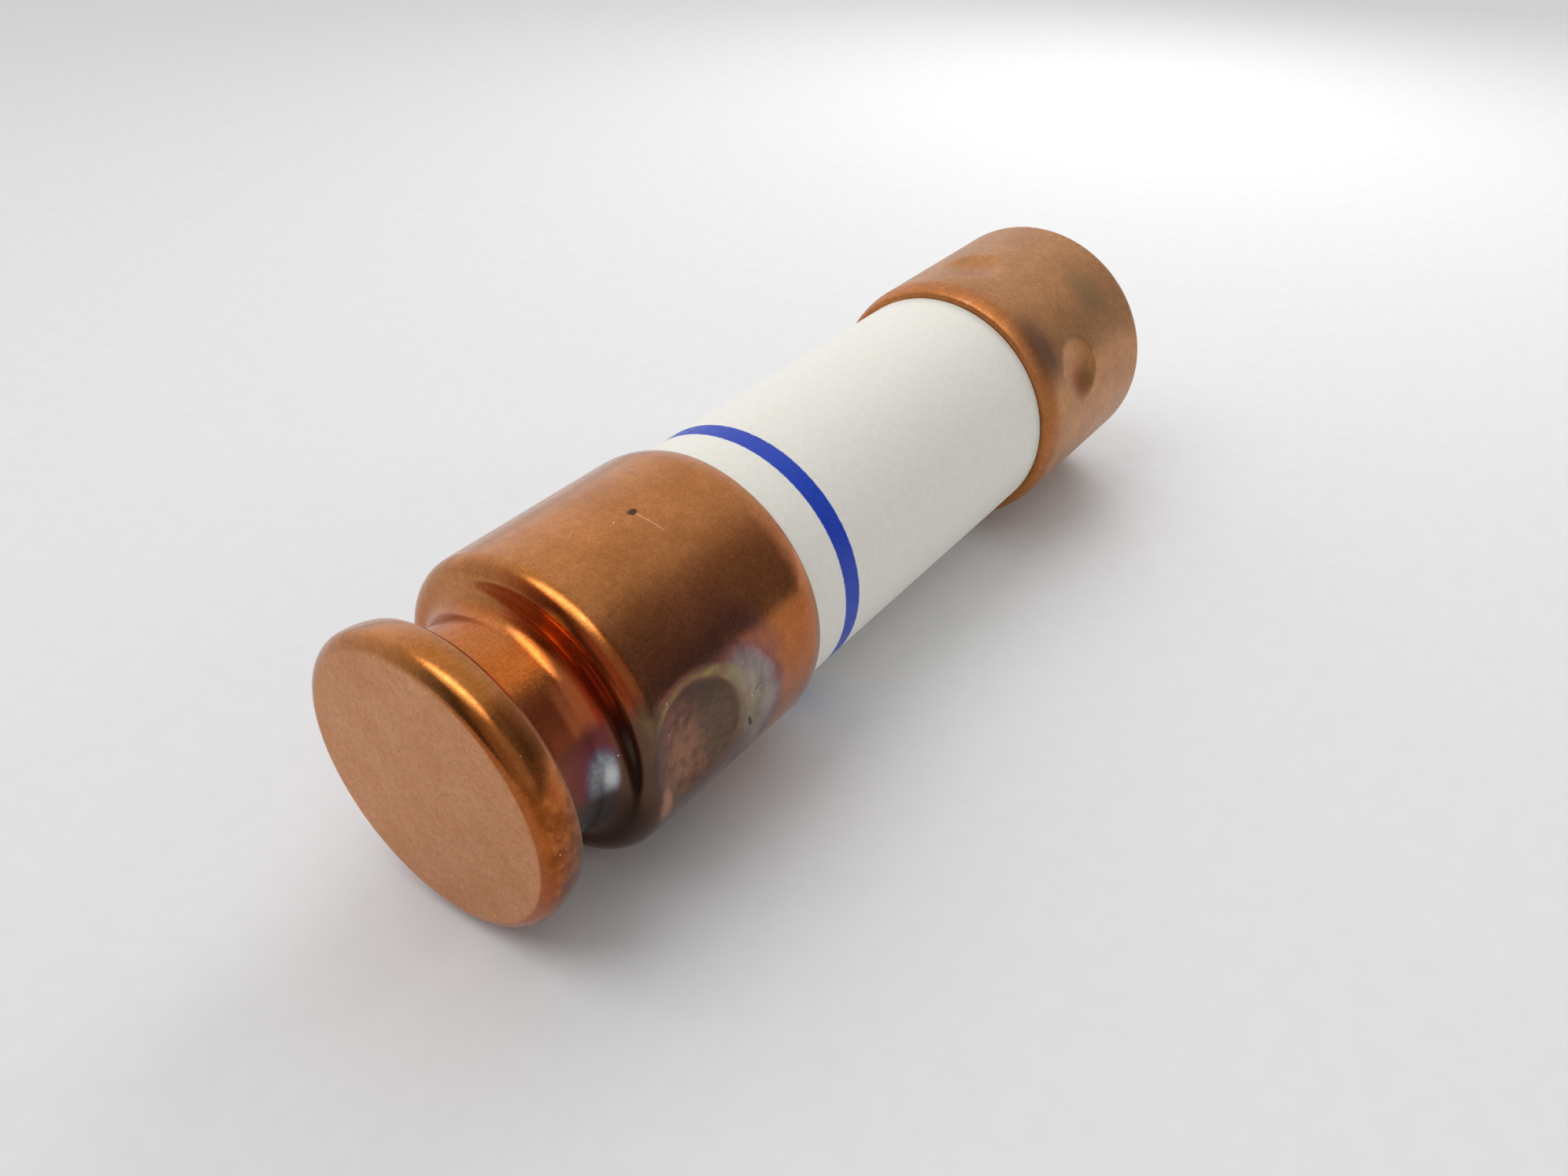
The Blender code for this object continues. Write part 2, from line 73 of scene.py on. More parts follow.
# Places and sizes read from the frame, whose round solids have flat facets at top and bottom
CAD_SEGMENTS = 48
FLAT_SHARE = math.cos(math.pi / CAD_SEGMENTS)
FRONT_LOW, FRONT_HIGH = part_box("rejection_ferrule")
REAR_LOW, REAR_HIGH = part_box("plain_ferrule")
LABEL_LOW, LABEL_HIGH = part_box("label_sleeve")
TUBE_LOW, TUBE_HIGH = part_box("body_tube")
KNOB_FACE_X = FRONT_LOW.x
AXIS_Z = (FRONT_LOW.z + FRONT_HIGH.z) / 2
LENGTH = REAR_HIGH.x - KNOB_FACE_X
REAR_RIM = REAR_LOW.x - KNOB_FACE_X
BARREL_RADIUS = (FRONT_HIGH.z - FRONT_LOW.z) / 2 / FLAT_SHARE
LABEL_RADIUS = (LABEL_HIGH.z - LABEL_LOW.z) / 2 / FLAT_SHARE
TUBE_RADIUS = (TUBE_HIGH.z - TUBE_LOW.z) / 2 / FLAT_SHARE

# Drawn ferrules, the front one with a rim that reaches further than its solid's
FERRULE_WALL = 0.65 * MM
KNOB_STEP = 0.3 * MM
KNOB_LENGTH = 2.1 * MM
KNOB_FACE_STEP = 0.5 * MM
KNOB_CROWN = 0.75 * MM
KNOB_FACE_EDGE = 0.8 * MM
KNOB_RIM_FALL = math.radians(20)
KNOB_BACK_EDGE = 0.45 * MM
GROOVE_DEPTH = 1.95 * MM
GROOVE_END = 5.45 * MM
GROOVE_FILLET = 0.95 * MM
NECK_FILLET = 0.6 * MM
SHOULDER_EDGE = 0.9 * MM
FRONT_RIM_REACH = 0.45 * MM
FRONT_RIM_ROLL = 1.4 * MM
REAR_RIM_ROLL = 1.2 * MM
RIM_FALL = math.radians(24)
RIM_EDGE = 0.3 * MM
REAR_END_EDGE = 0.7 * MM
FRONT_RIM = FRONT_HIGH.x - KNOB_FACE_X + FRONT_RIM_REACH
KNOB_RADIUS = BARREL_RADIUS - KNOB_STEP
NECK_RADIUS = BARREL_RADIUS - GROOVE_DEPTH
SEAT_RADIUS = BARREL_RADIUS - FERRULE_WALL
SHOULDER_INSIDE = GROOVE_END + FERRULE_WALL
KNOB_BACK_INSIDE = KNOB_LENGTH - FERRULE_WALL

# Round stakes that pinch the ferrules onto the tube
FRONT_STAKE_STATION = 8.3 * MM
FRONT_STAKE_RADIUS = 2.65 * MM
FRONT_STAKE_DISH = 0.12 * MM
FRONT_STAKE_CLOCKS = (178, 358)
REAR_STAKE_STATION = LENGTH - 7.9 * MM
REAR_STAKE_RADIUS = 1.6 * MM
REAR_STAKE_DISH = 0.22 * MM
REAR_STAKE_CLOCKS = (84, 158, 264, 338)
STAKE_STANDOFF = 0.3 * MM
STAKE_LIP = 0.28 * MM

# Paper over the tube
LABEL_GAP = 0.02 * MM

# Pieces that give as the trigger slides
SPRING_RADIUS = 2.1 * MM
SPRING_WIRE_RADIUS = 0.28 * MM
SPRING_TURNS = 6

# Mesh spacing, with the coil's steps for each turn
SEGMENTS = 360
COIL_STEPS = 72
WIRE_SIDES = 30
LEAST_ARC_STEPS = 4
ARC_SPACING = 0.07 * MM
BARREL_SPACING = 0.13 * MM
INSIDE_SPACING = 0.4 * MM
FACE_SPACING = 0.5 * MM
SAME_POINT = 0.001 * MM
SHARP_ANGLE = math.radians(15)

# Camera, as the photograph was taken: place from the middle of the fuse's axis, then angles
IMAGE_WIDTH = 1992
FOCAL_PIXELS = 1631
SENSOR_WIDTH = 36
NEAREST_SEEN = 1 * MM
CAMERA_OFFSET = Vector((-45.6, -32.28, 35.33)) * MM
CAMERA_YAW = 0.636
CAMERA_PITCH = -0.6275
CAMERA_ROLL = -0.004


# Shapes

def spread(start, end, spacing):
    """Points from start to end of a straight stretch of profile, about evenly spaced."""
    run = math.dist(start, end)
    count = max(1, round(run / spacing))
    return [
        tuple(a + (b - a) * step / count for a, b in zip(start, end))
        for step in range(count + 1)
    ]


def arc(station, radius, size, start, end):
    """Points of an arc of profile, its centre given, angles in degrees."""
    count = max(LEAST_ARC_STEPS, round(size * math.radians(abs(end - start)) / ARC_SPACING))
    points = []
    for step in range(count + 1):
        angle = math.radians(start + (end - start) * step / count)
        points.append((station + size * math.cos(angle), radius + size * math.sin(angle)))
    return points


def rolled(start, end, radius, fall, edge):
    """Points that curve inwards from start by an angle, then turn tightly, square to the axis at end."""
    way = math.copysign(1, end - start)
    curve = (abs(end - start) - edge * (1 - math.sin(fall))) / math.sin(fall)
    edge_radius = radius - curve + (curve - edge) * math.cos(fall)
    turn = 90 - way * math.degrees(fall)
    slope = arc(start, radius - curve, curve, 90, turn)
    lip = arc(end - way * edge, edge_radius, edge, turn, 90 - way * 90)
    return slope + lip


def joined(*stretches):
    """One profile from several stretches, without the points that they share."""
    profile = []
    for stretch in stretches:
        for point in stretch:
            if not profile or math.dist(point, profile[-1]) > SAME_POINT:
                profile.append(point)
    return profile


def soft_minimum(first, second, blend):
    """The lesser of two values, eased where they differ by less than blend."""
    overlap = max(blend - abs(first - second), 0) / blend
    return min(first, second) - overlap**2 * blend / 4


def staked(point, station, radius, dish, clock, swell):
    """Where a round punch leaves a point of the wall. swell is how deep under the face it lies."""
    turn = math.radians(clock)
    outwards = Vector((0, math.cos(turn), math.sin(turn)))
    sideways = Vector((0, -math.sin(turn), math.cos(turn)))
    height = point.dot(outwards)
    if height <= 0:
        return point
    drop = BARREL_RADIUS - math.sqrt(BARREL_RADIUS**2 - radius**2)
    depth = STAKE_STANDOFF + drop + dish
    along = radius / math.sqrt(1 - (STAKE_STANDOFF / depth) ** 2) + swell
    around = radius / math.sqrt(1 - ((STAKE_STANDOFF + drop) / depth) ** 2) + swell
    reach = 1 - ((point.x - station) / along) ** 2 - (point.dot(sideways) / around) ** 2
    if reach <= 0:
        return point
    floor = BARREL_RADIUS + STAKE_STANDOFF - (depth + swell) * math.sqrt(reach)
    return point + (soft_minimum(height, floor, STAKE_LIP) - height) * outwards


def new_mesh(name, verts, faces):
    mesh = bpy.data.meshes.new(name)
    mesh.from_pydata(verts, [], faces)
    return mesh


def new_object(name, data):
    """An object of the scene with a mesh, a light or a lens."""
    added = bpy.data.objects.new(name, data)
    bpy.context.scene.collection.objects.link(added)
    return added


def new_piece(name, mesh):
    """An object whose mesh is smooth but for its sharp edges."""
    mesh.shade_smooth()
    mesh.set_sharp_from_angle(angle=SHARP_ANGLE)
    return new_object(name, mesh)


def spun(name, outside, inside, stakes=()):
    """Closed shell of revolution: an outer profile that runs on into an inner one.

    Where the profile starts and ends on the axis it closes there, and otherwise on itself. Faces
    look outwards, also where the outer profile runs back towards the knob.
    """
    verts = []
    rings = []
    layers = [(point, 0) for point in outside] + [(point, FERRULE_WALL) for point in inside]
    for (station, radius), swell in layers:
        count = SEGMENTS if radius > 0 else 1
        rings.append(range(len(verts), len(verts) + count))
        for step in range(count):
            angle = 2 * math.pi * step / SEGMENTS
            point = Vector((station, radius * math.cos(angle), radius * math.sin(angle)))
            for stake in stakes:
                point = staked(point, *stake, swell)
            verts.append(point + Vector((KNOB_FACE_X, 0, AXIS_Z)))
    faces = []
    followers = rings[1:] if len(rings[0]) == 1 else rings[1:] + rings[:1]
    for ring, follower in zip(rings, followers):
        for step in range(SEGMENTS):
            ahead = (step + 1) % SEGMENTS
            if len(ring) == 1:
                faces.append((ring[0], follower[ahead], follower[step]))
            elif len(follower) == 1:
                faces.append((ring[step], ring[ahead], follower[0]))
            else:
                faces.append((ring[step], ring[ahead], follower[ahead], follower[step]))
    runs_back = outside[-1][0] < outside[0][0]
    if runs_back:
        faces = [face[::-1] for face in faces]
    return new_piece(name, new_mesh(name, verts, faces))


def front_shell():
    """Knob, groove and barrel of the grooved ferrule."""
    crown_turn = math.acos(1 - KNOB_FACE_STEP / KNOB_CROWN)
    crown_start = KNOB_FACE_EDGE * (1 - math.sin(crown_turn))
    crown_station = crown_start + KNOB_CROWN * math.sin(crown_turn)
    crown_radius = KNOB_RADIUS - KNOB_CROWN
    edge_radius = crown_radius + (KNOB_CROWN - KNOB_FACE_EDGE) * math.cos(crown_turn)
    turn = 90 + math.degrees(crown_turn)
    knob_edge = arc(KNOB_FACE_EDGE, edge_radius, KNOB_FACE_EDGE, 180, turn)
    knob_front = arc(crown_station, crown_radius, KNOB_CROWN, turn, 90)
    knob_back = rolled(crown_station, KNOB_LENGTH, KNOB_RADIUS, KNOB_RIM_FALL, KNOB_BACK_EDGE)
    neck = arc(KNOB_LENGTH + NECK_FILLET, NECK_RADIUS + NECK_FILLET, NECK_FILLET, 180, 270)
    flare = arc(GROOVE_END - GROOVE_FILLET, NECK_RADIUS + GROOVE_FILLET, GROOVE_FILLET, 270, 360)
    shoulder = arc(GROOVE_END + SHOULDER_EDGE, BARREL_RADIUS - SHOULDER_EDGE, SHOULDER_EDGE, 180, 90)
    rim = rolled(FRONT_RIM - FRONT_RIM_ROLL, FRONT_RIM, BARREL_RADIUS, RIM_FALL, RIM_EDGE)
    outside = joined(
        spread((0, 0), knob_edge[0], FACE_SPACING),
        knob_edge,
        knob_front,
        knob_back,
        spread(knob_back[-1], neck[0], BARREL_SPACING),
        neck,
        spread(neck[-1], flare[0], BARREL_SPACING),
        flare,
        shoulder,
        spread(shoulder[-1], rim[0], BARREL_SPACING),
        rim,
    )
    neck_inside = NECK_RADIUS - FERRULE_WALL
    knob_inside = KNOB_RADIUS - FERRULE_WALL
    inside = joined(
        spread((FRONT_RIM, SEAT_RADIUS), (SHOULDER_INSIDE, SEAT_RADIUS), INSIDE_SPACING),
        spread((SHOULDER_INSIDE, SEAT_RADIUS), (SHOULDER_INSIDE, neck_inside), INSIDE_SPACING),
        spread((SHOULDER_INSIDE, neck_inside), (KNOB_BACK_INSIDE, neck_inside), INSIDE_SPACING),
        [(KNOB_BACK_INSIDE, knob_inside), (FERRULE_WALL, knob_inside), (FERRULE_WALL, 0)],
    )
    stakes = [
        (FRONT_STAKE_STATION, FRONT_STAKE_RADIUS, FRONT_STAKE_DISH, clock) for clock in FRONT_STAKE_CLOCKS
    ]
    return spun("rejection_ferrule_shell", outside, inside, stakes)


def rear_shell():
    """Plain cup at the other end, pinched by four stakes. Its profile starts at the closed end."""
    end = arc(LENGTH - REAR_END_EDGE, BARREL_RADIUS - REAR_END_EDGE, REAR_END_EDGE, 0, 90)
    rim = rolled(REAR_RIM + REAR_RIM_ROLL, REAR_RIM, BARREL_RADIUS, RIM_FALL, RIM_EDGE)
    outside = joined(
        spread((LENGTH, 0), end[0], FACE_SPACING),
        end,
        spread(end[-1], rim[0], BARREL_SPACING),
        rim,
    )
    wall_inside = LENGTH - FERRULE_WALL
    inside = joined(
        spread((REAR_RIM, SEAT_RADIUS), (wall_inside, SEAT_RADIUS), INSIDE_SPACING),
        [(wall_inside, 0)],
    )
    stakes = [
        (REAR_STAKE_STATION, REAR_STAKE_RADIUS, REAR_STAKE_DISH, clock) for clock in REAR_STAKE_CLOCKS
    ]
    return spun("plain_ferrule_shell", outside, inside, stakes)


def label_shell():
    """Paper sleeve between the two rims."""
    start = LABEL_LOW.x - KNOB_FACE_X + FRONT_RIM_REACH
    end = LABEL_HIGH.x - KNOB_FACE_X
    inner = TUBE_RADIUS + LABEL_GAP
    outside = spread((start, LABEL_RADIUS), (end, LABEL_RADIUS), INSIDE_SPACING)
    inside = spread((end, inner), (start, inner), INSIDE_SPACING)
    return spun("label_paper_sleeve", outside, inside)


def spring_coil():
    """One unbroken wire, wound between the ends of its node."""
    name = "trigger_spring_coil"
    low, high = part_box("trigger_spring")
    pitch = (high.x - low.x - 2 * SPRING_WIRE_RADIUS) / SPRING_TURNS
    climb = pitch / (2 * math.pi * SPRING_RADIUS)
    rings = SPRING_TURNS * COIL_STEPS + 1
    verts = []
    for step in range(rings):
        turn = step / COIL_STEPS
        angle = 2 * math.pi * turn
        outwards = Vector((0, math.cos(angle), math.sin(angle)))
        ahead = Vector((climb, -math.sin(angle), math.cos(angle))).normalized()
        sideways = ahead.cross(outwards)
        middle = Vector((low.x + SPRING_WIRE_RADIUS + pitch * turn, 0, AXIS_Z))
        centre = middle + SPRING_RADIUS * outwards
        for side in range(WIRE_SIDES):
            around = 2 * math.pi * side / WIRE_SIDES
            spoke = math.cos(around) * outwards + math.sin(around) * sideways
            verts.append(centre + SPRING_WIRE_RADIUS * spoke)
    first = range(WIRE_SIDES)
    last = range(len(verts) - WIRE_SIDES, len(verts))
    faces = [tuple(reversed(first)), tuple(last)]
    for start in range(0, len(verts) - WIRE_SIDES, WIRE_SIDES):
        for side in first:
            beside = (side + 1) % WIRE_SIDES
            corners = (side, beside, beside + WIRE_SIDES, side + WIRE_SIDES)
            faces.append(tuple(start + corner for corner in corners))
    return new_piece(name, new_mesh(name, verts, faces))


# Nodes

COAT = "MIX"
TINT = "MULTIPLY"
METAL = 1.0
NOT_METAL = 0.0

# Where a mix node keeps its colours: its sockets for other data have the same names
MIX_FIRST, MIX_SECOND, MIX_RESULT = 6, 7, 2

# Middle of noise, and the ranges of it that tones, roughness and mottles run over
NOISE_MIDDLE = (0.5, 0.5, 0.5)
CLOUD_RANGE = (0.3, 0.7)
MOTTLE_RANGE = (0.33, 0.67)

# Rings of colour are drawn out to this many times the half size of their spot
RINGS_REACH = 2

# Noise that pushes places about: scale, then how far in millimetres
WARP_DETAIL = 3.0
WAVY_WARP = (1.1, 0.7)
RAGGED_WARP = (4.0, 0.3)


def put(tree, socket, value):
    """Link a socket to an input, or set a plain value on it. A tone becomes an opaque colour."""
    if isinstance(value, bpy.types.NodeSocket):
        tree.links.new(value, socket)
    elif isinstance(socket, bpy.types.NodeSocketColor):
        socket.default_value = (*value, 1.0)
    else:
        socket.default_value = value


def add(tree, kind, *values, **settings):
    """Add a node, with its settings, and its inputs in order."""
    node = tree.nodes.new(kind)
    for name, value in settings.items():
        setattr(node, name, value)
    for socket, value in zip(node.inputs, values):
        put(tree, socket, value)
    return node


def sums(tree, operation, *values):
    """Result of a maths node."""
    return add(tree, "ShaderNodeMath", *values, operation=operation).outputs[0]


def vectors(tree, operation, *values):
    """Result of a vector maths node: a number for a length or a dot product, otherwise a vector."""
    node = add(tree, "ShaderNodeVectorMath", *values, operation=operation)
    return node.outputs["Value" if operation in ("LENGTH", "DOT_PRODUCT") else "Vector"]


def product(tree, *values):
    """Product of several masks."""
    result = values[0]
    for value in values[1:]:
        result = sums(tree, "MULTIPLY", result, value)
    return result


def noise(tree, place, scale, detail, output="Fac"):
    node = add(tree, "ShaderNodeTexNoise")
    put(tree, node.inputs["Vector"], place)
    put(tree, node.inputs["Scale"], scale)
    put(tree, node.inputs["Detail"], detail)
    return node.outputs[output]


def ease(tree, value, start, end, low=0.0, high=1.0):
    """Smooth step of a value from low at start to high at end."""
    node = add(tree, "ShaderNodeMapRange", value, start, end, low, high, interpolation_type="SMOOTHSTEP")
    return node.outputs["Result"]


def faded(tree, value, places):
    """Mask that fades in over the first two places and, where there are four, out over the last two."""
    start, full, *rest = places
    mask = ease(tree, value, start, full)
    if not rest:
        return mask
    fading, end = rest
    return product(tree, mask, ease(tree, value, end, fading))


def mix(tree, share, first, second, kind=COAT):
    """A share of the second colour laid over the first, or tinting it."""
    node = add(tree, "ShaderNodeMix", data_type="RGBA", blend_type=kind)
    put(tree, node.inputs["Factor"], share)
    put(tree, node.inputs[MIX_FIRST], first)
    put(tree, node.inputs[MIX_SECOND], second)
    return node.outputs[MIX_RESULT]


def tinted(tree, colour, tint):
    return mix(tree, 1.0, colour, tint, TINT)


def ramp(tree, value, *stops):
    """Colour that runs evenly from each (position, tone) stop to the next."""
    node = add(tree, "ShaderNodeValToRGB", value)
    elements = node.color_ramp.elements
    while len(elements) < len(stops):
        elements.new(1.0)
    for element, (position, tone) in zip(elements, stops):
        element.position = position
        element.color = (*tone, 1.0)
    return node.outputs["Color"]


def toned(tree, cloud, dark, light, ends=CLOUD_RANGE):
    """Colour that runs from a dark tone to a light one as noise rises from one end to the other."""
    low, high = ends
    return ramp(tree, cloud, (low, dark), (high, light))


def ringed(tree, distance, stops):
    """Colour by the distance from a spot: each stop is a distance, 1 at the half size, and a tone."""
    share = sums(tree, "MULTIPLY", distance, 1 / RINGS_REACH)
    return ramp(tree, share, *((place / RINGS_REACH, tone) for place, tone in stops))


def grey(level):
    return (level, level, level)


class Mottle(NamedTuple):
    """Noise that lightens and darkens a colour, between two levels."""
    scale: float
    detail: float
    low: float
    high: float


def mottled(tree, colour, place, mottle):
    """A colour that a mottle lightens and darkens."""
    cloud = noise(tree, place, mottle.scale, mottle.detail)
    return tinted(tree, colour, toned(tree, cloud, grey(mottle.low), grey(mottle.high), MOTTLE_RANGE))


def bump(tree, height, strength, distance):
    node = add(tree, "ShaderNodeBump")
    put(tree, node.inputs["Strength"], strength)
    put(tree, node.inputs["Distance"], distance)
    put(tree, node.inputs["Height"], height)
    return node.outputs["Normal"]


def new_material(name, metallic):
    material = bpy.data.materials.new(name)
    material.use_nodes = True
    tree = material.node_tree
    surface = tree.nodes["Principled BSDF"]
    put(tree, surface.inputs["Metallic"], metallic)
    return material, tree, surface


def millimetres(tree):
    """The piece's own coordinates, in millimetres."""
    coordinates = add(tree, "ShaderNodeTexCoord").outputs["Object"]
    node = add(tree, "ShaderNodeVectorMath", operation="SCALE")
    put(tree, node.inputs["Vector"], coordinates)
    put(tree, node.inputs["Scale"], 1 / MM)
    return node.outputs["Vector"]


def unrolled(tree, place):
    """Place on the unrolled barrel: station, then the arc up from the side facing -Y, then radius."""
    parts = add(tree, "ShaderNodeSeparateXYZ", place)
    station = sums(tree, "SUBTRACT", parts.outputs["X"], KNOB_FACE_X / MM)
    towards = sums(tree, "MULTIPLY", parts.outputs["Y"], -1.0)
    height = sums(tree, "SUBTRACT", parts.outputs["Z"], AXIS_Z / MM)
    angle = sums(tree, "ARCTAN2", height, towards)
    rise = sums(tree, "MULTIPLY", angle, BARREL_RADIUS / MM)
    across = add(tree, "ShaderNodeCombineXYZ", 0.0, towards, height).outputs[0]
    radius = vectors(tree, "LENGTH", across)
    return add(tree, "ShaderNodeCombineXYZ", station, rise, radius).outputs[0]


def rise_of(clock):
    """Arc on the unrolled barrel, up from the side facing -Y, of a clock angle."""
    return math.radians(180 - clock) * BARREL_RADIUS / MM


def away(tree, place, station, clock, along, around):
    """Distance on the unrolled barrel from a spot, 1 on an ellipse of the given half sizes."""
    offset = vectors(tree, "SUBTRACT", place, (station, rise_of(clock), 0.0))
    scaled = vectors(tree, "MULTIPLY", offset, (1 / along, 1 / around, 0.0))
    return vectors(tree, "LENGTH", scaled)


def warped(tree, place, fine, scale, amount):
    """A place pushed about by noise, so that edges drawn with it wander."""
    cloud = noise(tree, fine, scale, WARP_DETAIL, "Color")
    shift = vectors(tree, "SUBTRACT", cloud, NOISE_MIDDLE)
    push = vectors(tree, "MULTIPLY", shift, (amount, amount, 0.0))
    return vectors(tree, "ADD", place, push)


class Skin(NamedTuple):
    """Node tree of a ferrule's finish, and places to draw it by, two of them pushed about by noise."""
    tree: bpy.types.NodeTree
    fine: bpy.types.NodeSocket
    place: bpy.types.NodeSocket
    station: bpy.types.NodeSocket
    rise: bpy.types.NodeSocket
    wavy: bpy.types.NodeSocket
    ragged: bpy.types.NodeSocket


def skin_of(tree):
    fine = millimetres(tree)
    place = unrolled(tree, fine)
    parts = add(tree, "ShaderNodeSeparateXYZ", place)
    wavy = warped(tree, place, fine, *WAVY_WARP)
    ragged = warped(tree, place, fine, *RAGGED_WARP)
    return Skin(tree, fine, place, parts.outputs["X"], parts.outputs["Y"], wavy, ragged)


# Marks on a ferrule

# Clock angles over which marks of the lower side facing -Y fade in, from underneath
LOWER_SIDE = (290, 225)


class Band(NamedTuple):
    """Stretch between stations, between clock angles, or both.

    It fades in over the first two and, where there are four, out over the last two. Clock angles
    are listed as they fall, which is upwards on the side facing -Y.
    """
    stations: tuple = None
    clocks: tuple = None

    def mask(self, skin):
        masks = []
        if self.stations:
            masks.append(faded(skin.tree, skin.station, self.stations))
        if self.clocks:
            masks.append(faded(skin.tree, skin.rise, [rise_of(clock) for clock in self.clocks]))
        return product(skin.tree, *masks)


class Oval(NamedTuple):
    """Spot with half sizes along the axis and around it, drawn on one of the skin's places.

    It fades in over its edge: two distances from its middle, 1 at the half size.
    """
    on: str
    station: float
    clock: float
    along: float
    around: float
    edge: tuple

    def mask(self, skin):
        place = getattr(skin, self.on)
        distance = away(skin.tree, place, self.station, self.clock, self.along, self.around)
        return ease(skin.tree, distance, *self.edge)


class Patches(NamedTuple):
    """Ragged patches, from one level to another as noise rises over their edge."""
    scale: float
    detail: float
    edge: tuple
    levels: tuple = (0.0, 1.0)

    def mask(self, skin):
        cloud = noise(skin.tree, skin.ragged, self.scale, self.detail)
        return ease(skin.tree, cloud, *self.edge, *self.levels)


class Mark(NamedTuple):
    """Tone that coats or tints a shape, wholly, by a share or in patches."""
    name: str
    shape: Band | Oval
    tone: tuple
    kind: str = COAT
    share: float = 1.0
    patches: Patches = None

    def mask(self, skin):
        masks = [self.shape.mask(skin)]
        if self.patches:
            masks.append(self.patches.mask(skin))
        if self.share < 1:
            masks.append(self.share)
        return product(skin.tree, *masks)


def painted(skin, colour, *marks):
    """A colour with marks laid on it in turn."""
    for mark in marks:
        colour = mix(skin.tree, mark.mask(skin), colour, mark.tone, mark.kind)
        colour.node.label = mark.name
    return colour


# Bare copper: noises by scale and detail, tones, roughness and relief
COPPER_CLOUDS = (0.45, 4.0)
COPPER_MOTTLE = (2.6, 4.0)
COPPER_SPECKLE = (9.0, 3.0)
COPPER_GRAIN = (7.0, 4.0)
COPPER_FINE_GRAIN = (15.0, 3.0)
COPPER_RANGE = (0.35, 0.65)
MOTTLE_TINTS = ((0.93, 0.90, 0.88), (1.04, 1.05, 1.06))
SPECKLE_TINTS = ((0.84, 0.82, 0.80), grey(1.1))
FRONT_TONES = ((0.46, 0.157, 0.054), (0.55, 0.195, 0.074))
REAR_TONES = ((0.51, 0.236, 0.09), (0.60, 0.288, 0.118))
FRONT_ROUGHNESS = (0.17, 0.25)
REAR_ROUGHNESS = (0.34, 0.46)
FRONT_SHEEN = 0.04
REAR_SHEEN = 0.08
SHEEN_ROUGHNESS = 0.4
SHEEN_TINT = (1.0, 0.88, 0.8)
FRONT_BUMP = 0.14
REAR_BUMP = 0.12
FINE_GRAIN_SHARE = 0.5
GRAIN_DEPTH = 0.02 * MM


def bare_copper(tree, fine, tones):
    """Mottled, finely speckled copper between two tones."""
    colour = toned(tree, noise(tree, fine, *COPPER_CLOUDS), *tones, COPPER_RANGE)
    mottle = toned(tree, noise(tree, fine, *COPPER_MOTTLE), *MOTTLE_TINTS, COPPER_RANGE)
    speckle = toned(tree, noise(tree, fine, *COPPER_SPECKLE), *SPECKLE_TINTS)
    return tinted(tree, tinted(tree, colour, mottle), speckle)


def add_sheen(tree, surface, weight):
    """Faint pale haze on bare metal."""
    put(tree, surface.inputs["Sheen Weight"], weight)
    put(tree, surface.inputs["Sheen Roughness"], SHEEN_ROUGHNESS)
    put(tree, surface.inputs["Sheen Tint"], SHEEN_TINT)


class Specks(NamedTuple):
    """Specks up to a radius, at most one to each cell, with a scale in cells per millimetre."""
    scale: float
    radius: float
    tone: tuple


DUST = Specks(1.1, 0.035, (0.9, 0.82, 0.74))
PIN_MARKS = Specks(1.3, 0.036, (0.1, 0.05, 0.03))
SPECK_CHOICE = (0.5, 0.8)
SPECK_SHARE = 0.8


def dusted(tree, fine, colour):
    """A colour with a few pale specks of dust and dark pin marks on it."""
    for specks in (DUST, PIN_MARKS):
        cells = add(tree, "ShaderNodeTexVoronoi")
        put(tree, cells.inputs["Vector"], fine)
        put(tree, cells.inputs["Scale"], specks.scale)
        draw = add(tree, "ShaderNodeSeparateColor", cells.outputs["Color"]).outputs[0]
        chosen = ease(tree, draw, *SPECK_CHOICE)
        reach = sums(tree, "MULTIPLY", chosen, specks.radius * specks.scale)
        inside = sums(tree, "LESS_THAN", cells.outputs["Distance"], reach)
        colour = mix(tree, product(tree, inside, SPECK_SHARE), colour, specks.tone)
    return colour


# Marks of the front ferrule, in the order in which they are laid. Besides tarnish and heat colours, many
# are painted shade, painted highlights and painted reflections
# Golden tint where the lamp's highlights fall on the knob's rim and the shoulder: painted highlight colour
GOLDEN_HIGHLIGHT_TINT = (1.02, 0.94, 0.68)
# Tint for the painted dark red that copper mirrored in copper gives the groove's flanks
REDDENED_REFLECTION = (0.85, 0.42, 0.34)
NECK = (2.2, 2.8, 5.0, 5.4)
SHOULDER = (5.7, 5.9, 6.3, 6.45)
# Painted glint: a pale line along the knob's back edge, where it mirrors the floor at a grazing angle. The
# same band is made rougher
PAINTED_GLINT_EDGE = Band((1.75, 1.95, 2.1, 2.13), (*LOWER_SIDE, 136, 120))
